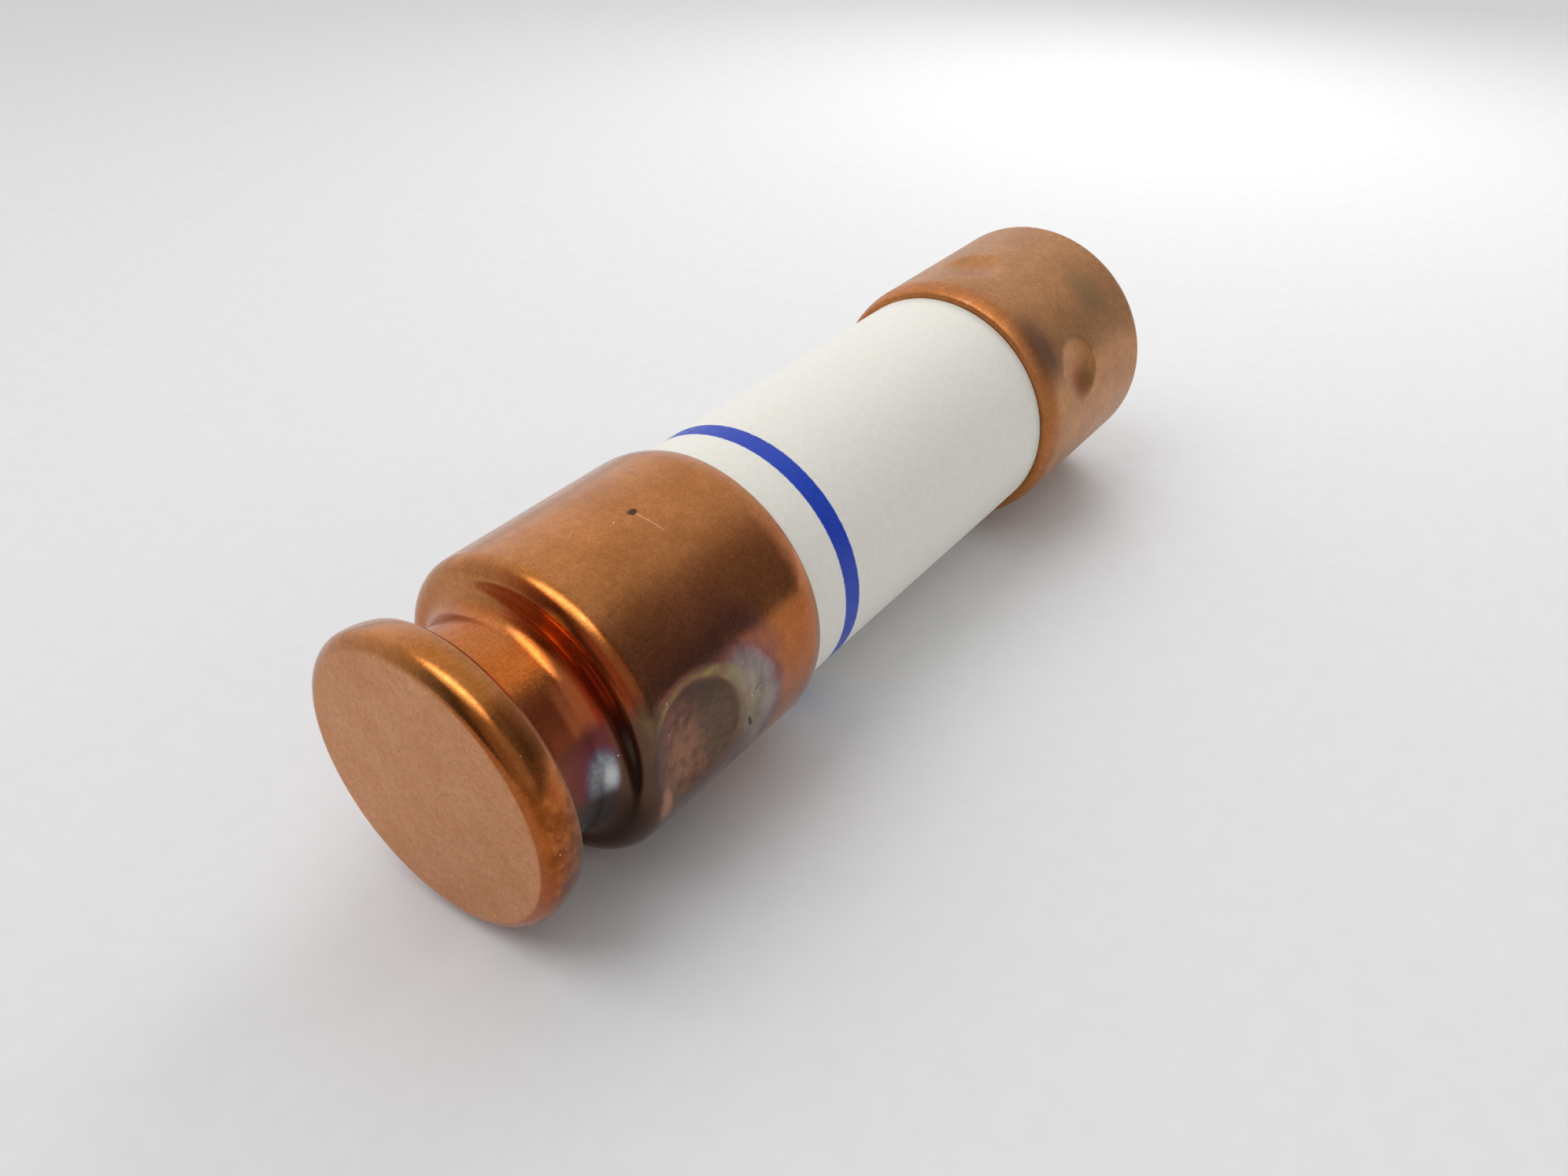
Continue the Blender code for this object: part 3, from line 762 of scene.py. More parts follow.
# Painted reflection colour: a yellower tint over the top of the ferrule, where it mirrors the bright walls
YELLOW_TOP_REFLECTION = Mark("yellow reflection tint", Band(None, (132, 116, 50, 10)), (0.98, 1.1, 1.0), TINT)
KNOB_MARKS = (
    Mark(
        "tarnish",
        Band((0.06, 0.5, 2.0, 2.2), (215, 195, 157, 148)),
        (0.25, 0.066, 0.018),
        patches=Patches(1.6, 6.0, (0.34, 0.62), (0.3, 1.0)),
    ),
    Mark("rubbed", Band((0.6, 0.8, 1.6, 1.9), (164, 157, 149, 143)), (0.82, 0.24, 0.075), share=0.2),
    # Painted dark reflection: a browner band just behind the face's edge on the lower side, where the rim
    # mirrors the dark walls
    Mark("dark reflection behind face edge", Band((0.01, 0.05, 0.3, 0.5), (*LOWER_SIDE, 122, 106)), (0.8, 0.66, 0.48), TINT),
    # Painted highlight colour: golden tint on the knob's rim
    Mark("golden highlight tint on rim", Band((0.1, 0.4, 1.2, 1.6), (*LOWER_SIDE, 100, 84)), GOLDEN_HIGHLIGHT_TINT, TINT),
    # Painted dark reflection: a darker patch on the back of the knob's rim, where the dark walls are
    # mirrored
    Mark("dark reflection on rim", Band((0.85, 1.15, 1.7, 1.95), (150, 141, 128, 120)), (0.58, 0.55, 0.53), TINT),
    # Painted glint along the knob's back edge
    Mark("worn edge", PAINTED_GLINT_EDGE, (0.80, 0.48, 0.28), share=0.5),
)
GROOVE_MARKS = (
    Mark("orange neck", Band(NECK), (1.05, 0.86, 0.7), TINT),
    Mark("lit neck", Band(NECK, (128, 118, 108, 98)), (1.12, 0.95, 0.7), TINT),
    # Painted reflection: red on the neck's lower side, standing in for copper mirrored in copper within
    # the groove
    Mark("red reflection on neck", Band(NECK, (*LOWER_SIDE, 138, 122)), (0.70, 0.165, 0.06), share=0.6),
    # Painted dark reflection: a dimmer neck on its lower side
    Mark("dark reflection on neck", Band((2.2, 2.8, 3.6, 4.3), (*LOWER_SIDE, 136, 122)), (0.72, 0.66, 0.7), TINT),
    # Painted reflection: brighter orange-red at the foot of the flare on its lower side
    Mark("lighter reflection on flare", Band((3.8, 4.2, 4.5, 4.7), (*LOWER_SIDE, 136, 126)), (1.0, 0.27, 0.1), share=0.9),
    # Painted shade: the dark underside of the neck
    Mark("shade under neck", Band(NECK, (*LOWER_SIDE, 159, 149)), (0.20, 0.062, 0.038)),
    # Painted shade: a darker groove wall on its lower side
    Mark("shade on groove wall", Band((5.1, 5.25, 5.55, 5.7), (*LOWER_SIDE, 140, 120)), (0.66, 0.6, 0.6), TINT),
    # Painted reflection: dark red flanks on each side of the groove's wall
    Mark("red reflection inner flank", Band((4.95, 5.12, 5.3, 5.42), (*LOWER_SIDE, 104, 78)), REDDENED_REFLECTION, TINT),
    Mark("red reflection outer flank", Band((5.5, 5.6, 5.8, 5.95), (*LOWER_SIDE, 104, 78)), REDDENED_REFLECTION, TINT),
    # Painted reflection: a bright orange-red spot on the groove's wall, where the flare's highlight is
    # mirrored
    Mark("glow", Oval("place", 5.5, 114, 0.16, 0.75, (1.4, 0.4)), (1.0, 0.3, 0.06)),
    # Painted highlight colour: golden tint on the shoulder
    Mark("golden highlight tint on shoulder", Band(SHOULDER, (*LOWER_SIDE, 100, 84)), GOLDEN_HIGHLIGHT_TINT, TINT),
    # Painted reflection: a redder shoulder on its lower side
    Mark("red reflection on shoulder", Band(SHOULDER, (*LOWER_SIDE, 138, 127)), (0.82, 0.66, 0.66), TINT),
)
BARREL_MARKS = (
    # Painted reflection colour: a bluer tint over the band where the barrel mirrors the dark walls
    Mark("blue tint of dark reflection", Band((6.0, 6.6, 11.0, 14.0), (160, 153, 141, 130)), (0.97, 0.93, 1.22), TINT),
    # Painted shade: a duller, darker lower side of the barrel
    Mark("shade on lower barrel", Band((11.0, 13.0), (*LOWER_SIDE, 158, 150)), (0.9, 0.84, 0.66), TINT),
    Mark("haze", Oval("wavy", 11.2, 166, 2.5, 2.7, (1.3, 0.7)), (0.26, 0.10, 0.072)),
    # Dark brown patch over the stake and below it, on the lower side
    Mark("dark brown round stake", Oval("wavy", 8.4, 188, 4.1, 4.95, (1.25, 0.8)), (0.165, 0.075, 0.054)),
)
SHADE_AND_UNDERSIDE_MARKS = (
    # Painted shade: the dark lower side of the groove's wall and the shoulder
    Mark("shade on shoulder", Band((5.1, 5.4, 6.35, 6.9), (*LOWER_SIDE, 159, 146)), (0.115, 0.066, 0.043), share=0.9),
    Mark("underside", Band((6.3, 7.2, 10.6, 12.2), (*LOWER_SIDE, 195, 185)), (0.17, 0.10, 0.076)),
)

# Matt face of the knob
FACE_EDGE = (0.045, 0.003)
FACE_CLOUDS = (0.55, 5.0)
FACE_TONES = ((0.63, 0.29, 0.125), (0.68, 0.34, 0.175))
FACE_MOTTLES = (Mottle(2.6, 5.0, 0.93, 1.06), Mottle(9.0, 4.0, 0.88, 1.08))


def face_colours(skin, colour):
    """Matt face of the knob. Also gives its mask."""
    tree = skin.tree
    matt = toned(tree, noise(tree, skin.fine, *FACE_CLOUDS), *FACE_TONES)
    for mottle in FACE_MOTTLES:
        matt = mottled(tree, matt, skin.fine, mottle)
    face = ease(tree, skin.station, *FACE_EDGE)
    return mix(tree, face, colour, matt), face


# Crescent beyond the stake: its place and half sizes, then its colours from the middle out
CRESCENT = (10.8, 184, 2.85, 3.75)
CRESCENT_WARP = (3.2, 0.45)
CRESCENT_START = (10.2, 11.6)
CRESCENT_EDGE = (1.25, 1.0)
CRESCENT_DULL_EDGE = (1.05, 0.8)
CRESCENT_TONES = (
    (0.30, (0.30, 0.235, 0.165)),
    (0.60, (0.36, 0.29, 0.235)),
    (0.76, (0.33, 0.265, 0.255)),
    (0.86, (0.29, 0.195, 0.195)),
    (0.98, (0.29, 0.115, 0.095)),
    (1.14, (0.45, 0.15, 0.06)),
)
CRESCENT_MOTTLE = Mottle(4.0, 5.0, 0.94, 1.05)
VEIL = (1.0, 5.0)
VEIL_STRETCH = (1.6, 0.8, 0.0)
VEIL_RANGE = (0.3, 0.6)
VEIL_TINTS = ((0.72, 0.71, 0.70), grey(1.06))
SMUDGE = Mark(
    "smudge",
    Oval("ragged", 11.9, 173, 0.75, 0.75, (1.4, 0.5)),
    (0.12, 0.09, 0.07),
    share=0.75,
    patches=Patches(1.3, 5.0, (0.5, 0.64)),
)


def crescent_colours(skin, colour):
    """Grey crescent beyond the stake, with a purple edge and a smudge. Also gives its mask."""
    tree = skin.tree
    crescent = away(tree, warped(tree, skin.wavy, skin.fine, *CRESCENT_WARP), *CRESCENT)
    veil = noise(tree, vectors(tree, "MULTIPLY", skin.wavy, VEIL_STRETCH), *VEIL)
    tones = ringed(tree, crescent, CRESCENT_TONES)
    tones = tinted(tree, tones, toned(tree, veil, *VEIL_TINTS, VEIL_RANGE))
    tones = mottled(tree, tones, skin.fine, CRESCENT_MOTTLE)
    beyond = ease(tree, skin.station, *CRESCENT_START)
    colour = mix(tree, product(tree, ease(tree, crescent, *CRESCENT_EDGE), beyond), colour, tones)
    colour = painted(skin, colour, SMUDGE)
    return colour, product(tree, ease(tree, crescent, *CRESCENT_DULL_EDGE), beyond)


# Straw-coloured line round the stake, its edges by distance from the stake's middle
STRAW_TONES = ((0.27, 0.19, 0.07), (0.31, 0.25, 0.14))
STRAW_FAR_SIDE = (9.2, 10.9)
STRAW_INNER_EDGE = (0.98, 1.05)
STRAW_REACH = 1.06
STRAW_WIDENING = 0.16
STRAW_FADE = 0.09
STRAW_SIDE = Band(None, (176, 162))
STRAW_FAINT_STATIONS = (5.9, 7.0)
STRAW_FAINT_SHARE = 0.15
STRAW_PATCHES = Patches(1.4, 4.0, (0.3, 0.62), (0.35, 0.95))
STRAW_TAIL = Oval("ragged", 5.95, 158, 0.2, 0.75, (1.5, 0.2))
STRAW_TAIL_SHARE = 0.55


def straw_colours(skin, stake, colour):
    """Thin line round the stake, broad and pale on the far side, with a tail on the shoulder."""
    tree = skin.tree
    far_side = ease(tree, skin.station, *STRAW_FAR_SIDE)
    outer = sums(tree, "MULTIPLY_ADD", far_side, STRAW_WIDENING, STRAW_REACH)
    uneven = STRAW_PATCHES.mask(skin)
    line = product(
        tree,
        ease(tree, stake, *STRAW_INNER_EDGE),
        ease(tree, sums(tree, "SUBTRACT", stake, outer), STRAW_FADE, 0.0),
        STRAW_SIDE.mask(skin),
        ease(tree, skin.station, *STRAW_FAINT_STATIONS, STRAW_FAINT_SHARE, 1.0),
        uneven,
    )
    tail = product(tree, STRAW_TAIL.mask(skin), uneven, STRAW_TAIL_SHARE)
    straw = mix(tree, far_side, *STRAW_TONES)
    return mix(tree, sums(tree, "MAXIMUM", line, tail), colour, straw)


# Scorched floor of the stake, a little higher than the punch
STAKE_CLOCK = 177.5
STAKE_WARP = (1.6, 0.25)
STAKE_EDGE = (1.03, 0.93)
STAKE_TONES = ((0.115, 0.056, 0.040), (0.136, 0.085, 0.056))
STAKE_TONE_STATIONS = (7.6, 9.8)
STAKE_MOTTLE = Mottle(3.0, 6.0, 0.86, 1.14)
STAKE_MARKS = (
    # Painted shade: the darker upper part of the stake's hollow
    Mark("dark upper side", Band(None, (174, 162)), (0.76, 0.72, 0.7), TINT),
    Mark(
        "red floor",
        Oval("wavy", 7.4, 170, 1.4, 1.6, (1.4, 0.3)),
        (0.27, 0.098, 0.062),
        patches=Patches(1.5, 6.0, (0.28, 0.68)),
    ),
    Mark(
        "rubbed floor",
        Oval("wavy", 7.7, 185, 1.5, 2.0, (1.4, 0.2)),
        (0.32, 0.15, 0.086),
        patches=Patches(1.5, 6.0, (0.2, 0.62)),
    ),
)
# Painted highlight: a pale sliver where the stake's lower edge catches the light
PAINTED_SLIVER_HIGHLIGHT = Mark("highlight on stake edge", Oval("ragged", 6.36, 195, 0.36, 1.0, (1.35, 0.5)), (0.50, 0.235, 0.13))


def stake_distance(skin):
    """Distance from the middle of the stake that the camera sees, 1 on its edge."""
    place = warped(skin.tree, skin.place, skin.fine, *STAKE_WARP)
    radius = FRONT_STAKE_RADIUS / MM
    return away(skin.tree, place, FRONT_STAKE_STATION / MM, STAKE_CLOCK, radius, radius)


def stake_colours(skin, stake, colour):
    """Scorched floor of the stake, redder and paler where the punch rubbed, painted shade above and a
    painted highlight below. Also gives its mask.
    """
    tree = skin.tree
    floor = mix(tree, ease(tree, skin.station, *STAKE_TONE_STATIONS), *STAKE_TONES)
    floor = painted(skin, floor, *STAKE_MARKS)
    floor = mottled(tree, floor, skin.fine, STAKE_MOTTLE)
    inside = ease(tree, stake, *STAKE_EDGE)
    colour = mix(tree, inside, colour, floor)
    return painted(skin, colour, PAINTED_SLIVER_HIGHLIGHT), inside


# Solder that ran into the groove: its place and half sizes, then its colours from the middle out
SOLDERED = (2.5, 3.2, 5.1, 5.3)
SOLDER = (4.62, 178, 0.95, 1.8)
SOLDER_WARP = (1.6, 0.4)
SOLDER_EDGE = (1.25, 0.6)
SOLDER_TONES = (
    (0.20, (0.36, 0.37, 0.38)),
    (0.60, (0.29, 0.30, 0.325)),
    (1.00, (0.15, 0.11, 0.18)),
)
SOLDER_MOTTLE = Mottle(5.0, 5.0, 0.7, 1.12)
SOLDER_FADING_RISE = (-2.6, 0.0)
SOLDER_FADED_SHARE = 0.1
PURPLE_RING = (0.19, 0.046, 0.048)
PURPLE_RING_EDGE = (2.2, 1.1)
PURPLE_RING_RISE = (-1.2, 0.8)
DULLED_GROOVE = Band(SOLDERED, (*LOWER_SIDE, 152, 136))
# Painted shade: the very dark underside of the groove below the solder
GROOVE_UNDERSIDE_SHADE = Mark("shade under groove", Band(SOLDERED, (*LOWER_SIDE, 194, 177)), (0.08, 0.065, 0.057))
# Painted highlight: a bright streak on the solder's lower right
SOLDER_HIGHLIGHT = Mark(
    "highlight on solder",
    Oval("ragged", 4.95, 181, 0.28, 1.0, (1.4, 0.2)),
    (0.74, 0.75, 0.76),
    share=0.7,
)


def solder_colours(skin, colour):
    """Solder in the groove, ringed with purple, with painted shade below and a painted highlight on it.
    Also gives the mask of what it dulls.
    """
    tree = skin.tree
    groove = Band(SOLDERED).mask(skin)
    spot = away(tree, warped(tree, skin.place, skin.fine, *SOLDER_WARP), *SOLDER)
    above = ease(tree, skin.rise, *PURPLE_RING_RISE)
    ring = product(tree, groove, ease(tree, spot, *PURPLE_RING_EDGE), above)
    colour = mix(tree, ring, colour, PURPLE_RING)
    colour = painted(skin, colour, GROOVE_UNDERSIDE_SHADE)
    tin = mottled(tree, ringed(tree, spot, SOLDER_TONES), skin.fine, SOLDER_MOTTLE)
    tin = painted(skin, tin, SOLDER_HIGHLIGHT)
    fading = ease(tree, skin.rise, *SOLDER_FADING_RISE, SOLDER_FADED_SHARE, 1.0)
    run = product(tree, groove, ease(tree, spot, *SOLDER_EDGE), fading)
    return mix(tree, run, colour, tin), DULLED_GROOVE.mask(skin)


# Small dents. The slant and the lean are along the axis for each millimetre around it
PIT = (11.15, 187, 0.11, 0.32)
PIT_SLANT = 0.35
PIT_EDGE = (1.3, 0.8)
DENT_TONE = (0.08, 0.042, 0.025)
NICK_STATION = 11.76
NICK_CLOCK = 98
NICK = Oval("ragged", NICK_STATION, NICK_CLOCK, 0.2, 0.17, (1.3, 0.9))
SCRATCH_LEAN = 0.11
SCRATCH_EDGE = (0.03, 0.01)
SCRATCH_RUN = Band(None, (112, 110, 100, 99))
SCRATCH_TONE = (0.92, 0.58, 0.44)
SCRATCH_SHARE = 0.6


def small_marks(skin, colour):
    """A pit beside the stake, a nick on top and the scratch that runs from it."""
    tree = skin.tree
    slant = add(tree, "ShaderNodeCombineXYZ", sums(tree, "MULTIPLY", skin.rise, PIT_SLANT)).outputs[0]
    pit = ease(tree, away(tree, vectors(tree, "ADD", skin.ragged, slant), *PIT), *PIT_EDGE)
    colour = mix(tree, sums(tree, "MAXIMUM", pit, NICK.mask(skin)), colour, DENT_TONE)
    climb = sums(tree, "SUBTRACT", skin.rise, rise_of(NICK_CLOCK))
    lean = sums(tree, "MULTIPLY_ADD", climb, SCRATCH_LEAN, skin.station)
    beside = sums(tree, "ABSOLUTE", sums(tree, "SUBTRACT", lean, NICK_STATION))
    scratch = product(tree, ease(tree, beside, *SCRATCH_EDGE), SCRATCH_RUN.mask(skin), SCRATCH_SHARE)
    return mix(tree, scratch, colour, SCRATCH_TONE)


# How much rougher parts of the front ferrule are, and how far solder smooths its grain
DULL_ROUGHER = 0.16
FACE_ROUGHER = 0.32
GLINT_ROUGHER = 0.25
SMOOTHED_RANGE = (0.0, 0.6)
SMOOTHED_GRAIN = 0.2


def front_copper():
    """Copper of the grooved ferrule: heat colours round its stake and solder spot, painted shade,
    highlights and reflections.
    """
    material, tree, surface = new_material("front_copper", METAL)
    skin = skin_of(tree)

    colour = bare_copper(tree, skin.fine, FRONT_TONES)
    colour = painted(skin, colour, YELLOW_TOP_REFLECTION)
    colour, face = face_colours(skin, colour)
    colour = painted(skin, colour, *KNOB_MARKS, *GROOVE_MARKS, *BARREL_MARKS)
    colour, veiled = crescent_colours(skin, colour)
    colour = painted(skin, colour, *SHADE_AND_UNDERSIDE_MARKS)
    stake = stake_distance(skin)
    colour = straw_colours(skin, stake, colour)
    colour, inside = stake_colours(skin, stake, colour)
    colour, tinned = solder_colours(skin, colour)
    colour = small_marks(skin, colour)
    put(tree, surface.inputs["Base Color"], dusted(tree, skin.fine, colour))

    grain = noise(tree, skin.fine, *COPPER_GRAIN)
    roughness = ease(tree, grain, *CLOUD_RANGE, *FRONT_ROUGHNESS)
    dull = sums(tree, "MAXIMUM", sums(tree, "MAXIMUM", inside, veiled), tinned)
    # The band of the painted glint is rougher too
    glint = PAINTED_GLINT_EDGE.mask(skin)
    for share, extra in ((dull, DULL_ROUGHER), (face, FACE_ROUGHER), (glint, GLINT_ROUGHER)):
        roughness = sums(tree, "MULTIPLY_ADD", share, extra, roughness)
    put(tree, surface.inputs["Roughness"], roughness)
    add_sheen(tree, surface, FRONT_SHEEN)
    fine_grain = noise(tree, skin.fine, *COPPER_FINE_GRAIN)
    relief = sums(tree, "MULTIPLY_ADD", fine_grain, FINE_GRAIN_SHARE, grain)
    relief = product(tree, relief, ease(tree, tinned, *SMOOTHED_RANGE, 1.0, SMOOTHED_GRAIN))
    put(tree, surface.inputs["Normal"], bump(tree, relief, FRONT_BUMP, GRAIN_DEPTH))
    return material


# Marks of the rear ferrule: stains, with painted shade on its lower side and round a stake
REAR_RIM_SIDE = Band((40.4, 39.2))
REAR_RIM_ROUGHER = 0.1
REAR_SPOT_EDGE = (1.6, 0.3)
REAR_SPOT_SHARE = 0.75
STAINS_AND_SHADE = (
    # Painted shade: a dark patch between the rim and the stake
    ("shade by rim", (40.1, 139, 0.9, 2.0), (0.17, 0.08, 0.05)),
    # Painted shade: red in the hollow of the stake
    ("red stain", (42.8, 163, 0.7, 0.7), (0.38, 0.11, 0.03)),
    ("yellow stain", (47.0, 131, 1.3, 1.4), (0.34, 0.20, 0.08)),
    ("orange stain", (42.0, 84, 0.8, 0.9), (0.48, 0.19, 0.06)),
)
REAR_MARKS = (
    # Painted shade: the darker lower side of the plain ferrule
    Mark("lower side", Band(None, (*LOWER_SIDE, 172, 156)), (0.87, 0.87, 0.83), TINT),
    Mark("rim", REAR_RIM_SIDE, (1.0, 0.84, 0.72), TINT),
    *(Mark(name, Oval("wavy", *spot, REAR_SPOT_EDGE), tone, share=REAR_SPOT_SHARE) for name, spot, tone in STAINS_AND_SHADE),
)


def rear_copper():
    """Duller copper of the plain ferrule, stained round the stakes that the camera sees, with painted
    shade by one of them and on its lower side.
    """
    material, tree, surface = new_material("rear_copper", METAL)
    skin = skin_of(tree)
    colour = bare_copper(tree, skin.fine, REAR_TONES)
    colour = painted(skin, colour, *REAR_MARKS)
    put(tree, surface.inputs["Base Color"], dusted(tree, skin.fine, colour))
    grain = noise(tree, skin.fine, *COPPER_GRAIN)
    roughness = ease(tree, grain, *CLOUD_RANGE, *REAR_ROUGHNESS)
    rim = REAR_RIM_SIDE.mask(skin)
    roughness = sums(tree, "MULTIPLY_ADD", rim, REAR_RIM_ROUGHER, roughness)
    put(tree, surface.inputs["Roughness"], roughness)
    add_sheen(tree, surface, REAR_SHEEN)
    put(tree, surface.inputs["Normal"], bump(tree, grain, REAR_BUMP, GRAIN_DEPTH))
    return material


# Label: noises by scale and detail, and the stripe's stations
PAPER_FIBRES = (3.0, 5.0)
PAPER_TONES = ((0.835, 0.815, 0.735), (0.885, 0.865, 0.79))
PAPER_ROUGHNESS = (0.36, 0.48)
PAPER_SHINE = 0.35
PAPER_GRAIN = (14.0, 3.0)
PAPER_BUMP = 0.06
PAPER_DEPTH = 0.015 * MM
INK_CLOUDS = (6.0, 4.0)
INK_TONES = ((0.004, 0.040, 0.42), (0.007, 0.052, 0.50))
STRIPE_START = 19.4
STRIPE_END = 20.5
STRIPE_FADE = 0.08
STRIPE_WANDER = 0.08
STRIPE_WANDER_NOISE = (5.0, 3.0)


def label_paper():
    """Warm white coated paper with one printed stripe."""
    material, tree, surface = new_material("printed_label", NOT_METAL)
    fine = millimetres(tree)
    station = add(tree, "ShaderNodeSeparateXYZ", unrolled(tree, fine)).outputs["X"]
    fibres = noise(tree, fine, *PAPER_FIBRES)
    paper = toned(tree, fibres, *PAPER_TONES)
    ink = toned(tree, noise(tree, fine, *INK_CLOUDS), *INK_TONES)
    wander = noise(tree, fine, *STRIPE_WANDER_NOISE)
    ragged = sums(tree, "MULTIPLY_ADD", wander, STRIPE_WANDER, station)
    edges = (STRIPE_START, STRIPE_START + STRIPE_FADE, STRIPE_END, STRIPE_END + STRIPE_FADE)
    colour = mix(tree, faded(tree, ragged, edges), paper, ink)
    put(tree, surface.inputs["Base Color"], colour)
    put(tree, surface.inputs["Roughness"], ease(tree, fibres, *CLOUD_RANGE, *PAPER_ROUGHNESS))
    put(tree, surface.inputs["Specular IOR Level"], PAPER_SHINE)
    grain = noise(tree, fine, *PAPER_GRAIN)
    put(tree, surface.inputs["Normal"], bump(tree, grain, PAPER_BUMP, PAPER_DEPTH))
    return material


# Stock of the pieces inside

class Stock(NamedTuple):
    """Plain material whose tone and roughness vary with its grain, and the nodes that have it."""
    name: str
    dark: tuple
    light: tuple
    scale: float
    roughness: float
    metallic: float
    nodes: tuple


STOCK_DETAIL = 4.0
STOCK_BUMP = 0.15
ROUGHNESS_SPREAD = 0.06
FIBRE_TUBES = ("body_tube", "trigger_guide_tube")
END_DISCS = ("front_end_disc", "rear_end_disc")
FIBRE_DISCS = (*END_DISCS, "chamber_partition", "guide_support_disc", "spring_seat_washer")
SOLDER_FILLS = ("front_solder_fill", "rear_solder_fill")
COPPER_STRIPS = ("short_circuit_link", "flexible_connector")
BRASS_PIECES = ("heat_absorber", "trigger_plunger")
STOCKS = (
    Stock("grey_fibre", (0.28, 0.26, 0.23), (0.42, 0.40, 0.36), 2.5, 0.7, NOT_METAL, FIBRE_TUBES),
    Stock("red_fibre", (0.26, 0.07, 0.04), (0.42, 0.13, 0.08), 2.0, 0.7, NOT_METAL, FIBRE_DISCS),
    Stock("solder", (0.46, 0.46, 0.45), (0.62, 0.62, 0.61), 1.5, 0.4, METAL, SOLDER_FILLS),
    Stock("element_copper", (0.55, 0.27, 0.15), (0.68, 0.36, 0.21), 2.0, 0.33, METAL, COPPER_STRIPS),
    Stock("quartz_sand", (0.55, 0.48, 0.38), (0.88, 0.84, 0.76), 3.5, 0.9, NOT_METAL, ("sand_filler",)),
    Stock("trigger_brass", (0.62, 0.45, 0.18), (0.76, 0.58, 0.27), 1.5, 0.33, METAL, BRASS_PIECES),
    Stock("resistance_strip", (0.34, 0.32, 0.30), (0.48, 0.46, 0.44), 2.5, 0.4, METAL, ("heater_band",)),
    Stock("fusible_alloy", (0.54, 0.54, 0.52), (0.68, 0.68, 0.66), 1.2, 0.32, METAL, ("fusible_alloy",)),
    Stock("spring_steel", (0.42, 0.42, 0.43), (0.56, 0.56, 0.57), 2.5, 0.3, METAL, ("trigger_spring",)),
)


def grained(stock):
    material, tree, surface = new_material(stock.name, stock.metallic)
    grain = noise(tree, millimetres(tree), stock.scale, STOCK_DETAIL)
    smooth, rough = stock.roughness - ROUGHNESS_SPREAD, stock.roughness + ROUGHNESS_SPREAD
    put(tree, surface.inputs["Base Color"], toned(tree, grain, stock.dark, stock.light))
    put(tree, surface.inputs["Roughness"], ease(tree, grain, *CLOUD_RANGE, smooth, rough))
    put(tree, surface.inputs["Normal"], bump(tree, grain, STOCK_BUMP, GRAIN_DEPTH))
    return material


# Pieces in their finishes

def dress_inside():
    for stock in STOCKS:
        material = grained(stock)
        for node in stock.nodes:
            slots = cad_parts[node].data.materials
            slots.clear()
            slots.append(material)


def dress_outside():
    shells = (
        (front_shell(), "rejection_ferrule", front_copper(), "ferrule_copper"),
        (rear_shell(), "plain_ferrule", rear_copper(), "ferrule_copper"),
        (label_shell(), "label_sleeve", label_paper(), "label_paper"),
    )
    for shell, node, material, slot in shells:
        shell.data.materials.append(material)
        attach(shell, "fuse")
        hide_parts(node)


def dress_moving():
    """Spring and ribbon between the fuse and its trigger, as finer meshes in place of their nodes."""
    coil = spring_coil()
    coil.data.materials.append(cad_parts["trigger_spring"].data.materials[0])
    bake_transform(coil)
    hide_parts("trigger_spring")

    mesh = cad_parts["flexible_connector"].data.copy()
    ribbon = new_piece("flexible_connector_ribbon", mesh)
    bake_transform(ribbon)
    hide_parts("flexible_connector")


# Studio

FLOOR_HALF = 0.6
FLOOR_GRAIN = (0.8, 3.0)
FLOOR_TONES = ((0.83, 0.83, 0.84), (0.85, 0.85, 0.86))
FLOOR_ROUGHNESS = 0.75

# Walls: grey levels as a direction turns to the bright side, from the darkest turn to the full one
BRIGHT_SIDE = (0.5, 0.866, 0.0)
DARKEST_TURN = -0.5
WALL_LEVELS = (
    (0.06, 0.11),
    (0.16, 0.16),
    (0.22, 0.225),
    (0.31, 0.32),
    (0.36, 0.41),
    (0.43, 0.56),
    (0.54, 0.64),
    (0.67, 0.70),
    (0.84, 0.80),
    (1.0, 1.0),
)
NEAR_SIDE = Vector((-0.4, -0.82, 0.42)).normalized()
NEAR_GLOW_EDGE = (0.52, 0.85)
NEAR_GLOW = 0.4
CEILING_EDGE = (0.8, 0.9)
CEILING = 0.7
SEEN_WALLS = (0.8, 0.8, 0.81)


class Panel(NamedTuple):
    """Oval light that faces the fuse, level size first. Metal mirrors it, or it lights what is matt."""
    name: str
    place: tuple
    size: tuple
    radiance: float
    mirrored: bool


PANELS = (
    Panel("ceiling_panel", (-0.02, -0.0087, 0.16), (0.19, 0.12), 1.0, True),
    Panel("ceiling_lamp", (-0.0185, -0.008, 0.148), (0.135, 0.05), 2.4, True),
    Panel("left_panel", (-0.12, 0.08, 0.25), (0.2, 0.2), 2.04, False),
    Panel("back_panel", (0.12, 0.03, 0.08), (0.08, 0.08), 3.18, False),
    Panel("right_panel", (0.2, -0.15, 0.08), (0.08, 0.08), 5.35, False),
)


def make_floor():
    material, tree, surface = new_material("pale_floor", NOT_METAL)
    grain = noise(tree, millimetres(tree), *FLOOR_GRAIN)
    put(tree, surface.inputs["Base Color"], toned(tree, grain, *FLOOR_TONES))
    put(tree, surface.inputs["Roughness"], FLOOR_ROUGHNESS)
    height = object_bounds()[0].z
    signs = ((-1, -1), (1, -1), (1, 1), (-1, 1))
    corners = [(FLOOR_HALF * x, FLOOR_HALF * y, height) for x, y in signs]
    mesh = new_mesh("floor", corners, [(0, 1, 2, 3)])
    mesh.materials.append(material)
    new_object("floor", mesh)


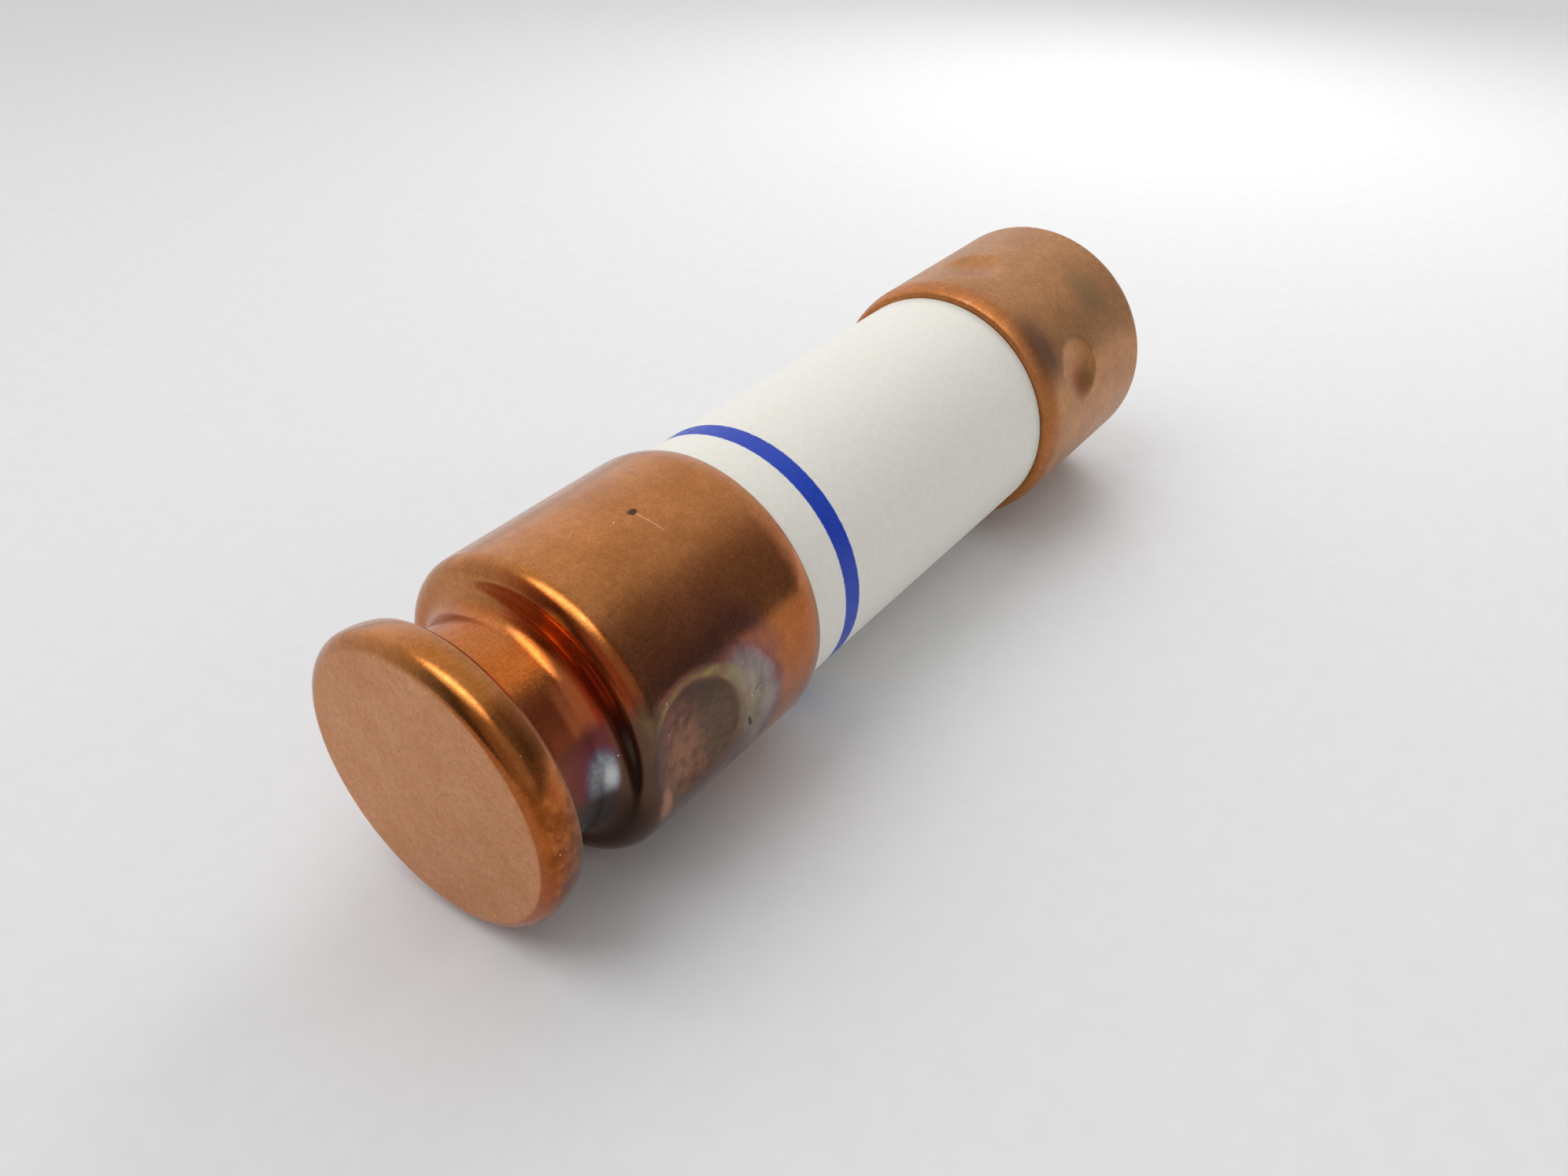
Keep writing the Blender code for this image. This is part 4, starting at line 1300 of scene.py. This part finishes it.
def make_world():
    """Walls bright beyond the fuse, dark with a glow on the camera's side, and a pale ceiling.

    The camera itself sees one plain tone instead.
    """
    world = bpy.data.worlds.new("studio")
    world.use_nodes = True
    tree = world.node_tree
    background = tree.nodes["Background"]
    direction = add(tree, "ShaderNodeTexCoord").outputs["Generated"]
    level = vectors(tree, "NORMALIZE", vectors(tree, "MULTIPLY", direction, (1.0, 1.0, 0.0)))
    turn = vectors(tree, "DOT_PRODUCT", level, BRIGHT_SIDE)
    span = 1 - DARKEST_TURN
    share = sums(tree, "MULTIPLY_ADD", turn, 1 / span, -DARKEST_TURN / span)
    walls = ramp(tree, share, *((position, grey(tone)) for position, tone in WALL_LEVELS))
    glow = ease(tree, vectors(tree, "DOT_PRODUCT", direction, tuple(NEAR_SIDE)), *NEAR_GLOW_EDGE)
    walls = mix(tree, glow, walls, grey(NEAR_GLOW))
    height = add(tree, "ShaderNodeSeparateXYZ", direction).outputs["Z"]
    light = mix(tree, ease(tree, height, *CEILING_EDGE), walls, grey(CEILING))
    seen = add(tree, "ShaderNodeLightPath").outputs["Is Camera Ray"]
    put(tree, background.inputs["Color"], mix(tree, seen, light, SEEN_WALLS))
    bpy.context.scene.world = world


def make_panels():
    for panel in PANELS:
        width, depth = panel.size
        area = math.pi / 4 * width * depth
        light = bpy.data.lights.new(panel.name, "AREA")
        light.shape = "ELLIPSE"
        light.size, light.size_y = panel.size
        light.energy = panel.radiance * math.pi * area
        lamp = new_object(panel.name, light)
        lamp.location = panel.place
        lamp.rotation_euler = (-Vector(panel.place)).to_track_quat("-Z", "Y").to_euler()
        lamp.visible_glossy = panel.mirrored
        lamp.visible_diffuse = not panel.mirrored


def make_camera():
    """Camera at the photograph's place and angles."""
    lens = bpy.data.cameras.new("camera")
    lens.sensor_fit = "HORIZONTAL"
    lens.sensor_width = SENSOR_WIDTH
    lens.lens = FOCAL_PIXELS / IMAGE_WIDTH * SENSOR_WIDTH
    lens.clip_start = NEAREST_SEEN
    ahead = Vector((
        math.cos(CAMERA_PITCH) * math.cos(CAMERA_YAW),
        math.cos(CAMERA_PITCH) * math.sin(CAMERA_YAW),
        math.sin(CAMERA_PITCH),
    ))
    facing = ahead.to_track_quat("-Z", "Y").to_matrix() @ Matrix.Rotation(CAMERA_ROLL, 3, "Z")
    camera = new_object("camera", lens)
    camera.rotation_euler = facing.to_euler()
    camera.location = Vector((KNOB_FACE_X + LENGTH / 2, 0, AXIS_Z)) + CAMERA_OFFSET
    bpy.context.scene.camera = camera


dress_inside()
dress_outside()
dress_moving()
make_floor()
make_world()
make_panels()
make_camera()
bpy.context.scene.view_settings.view_transform = "Standard"
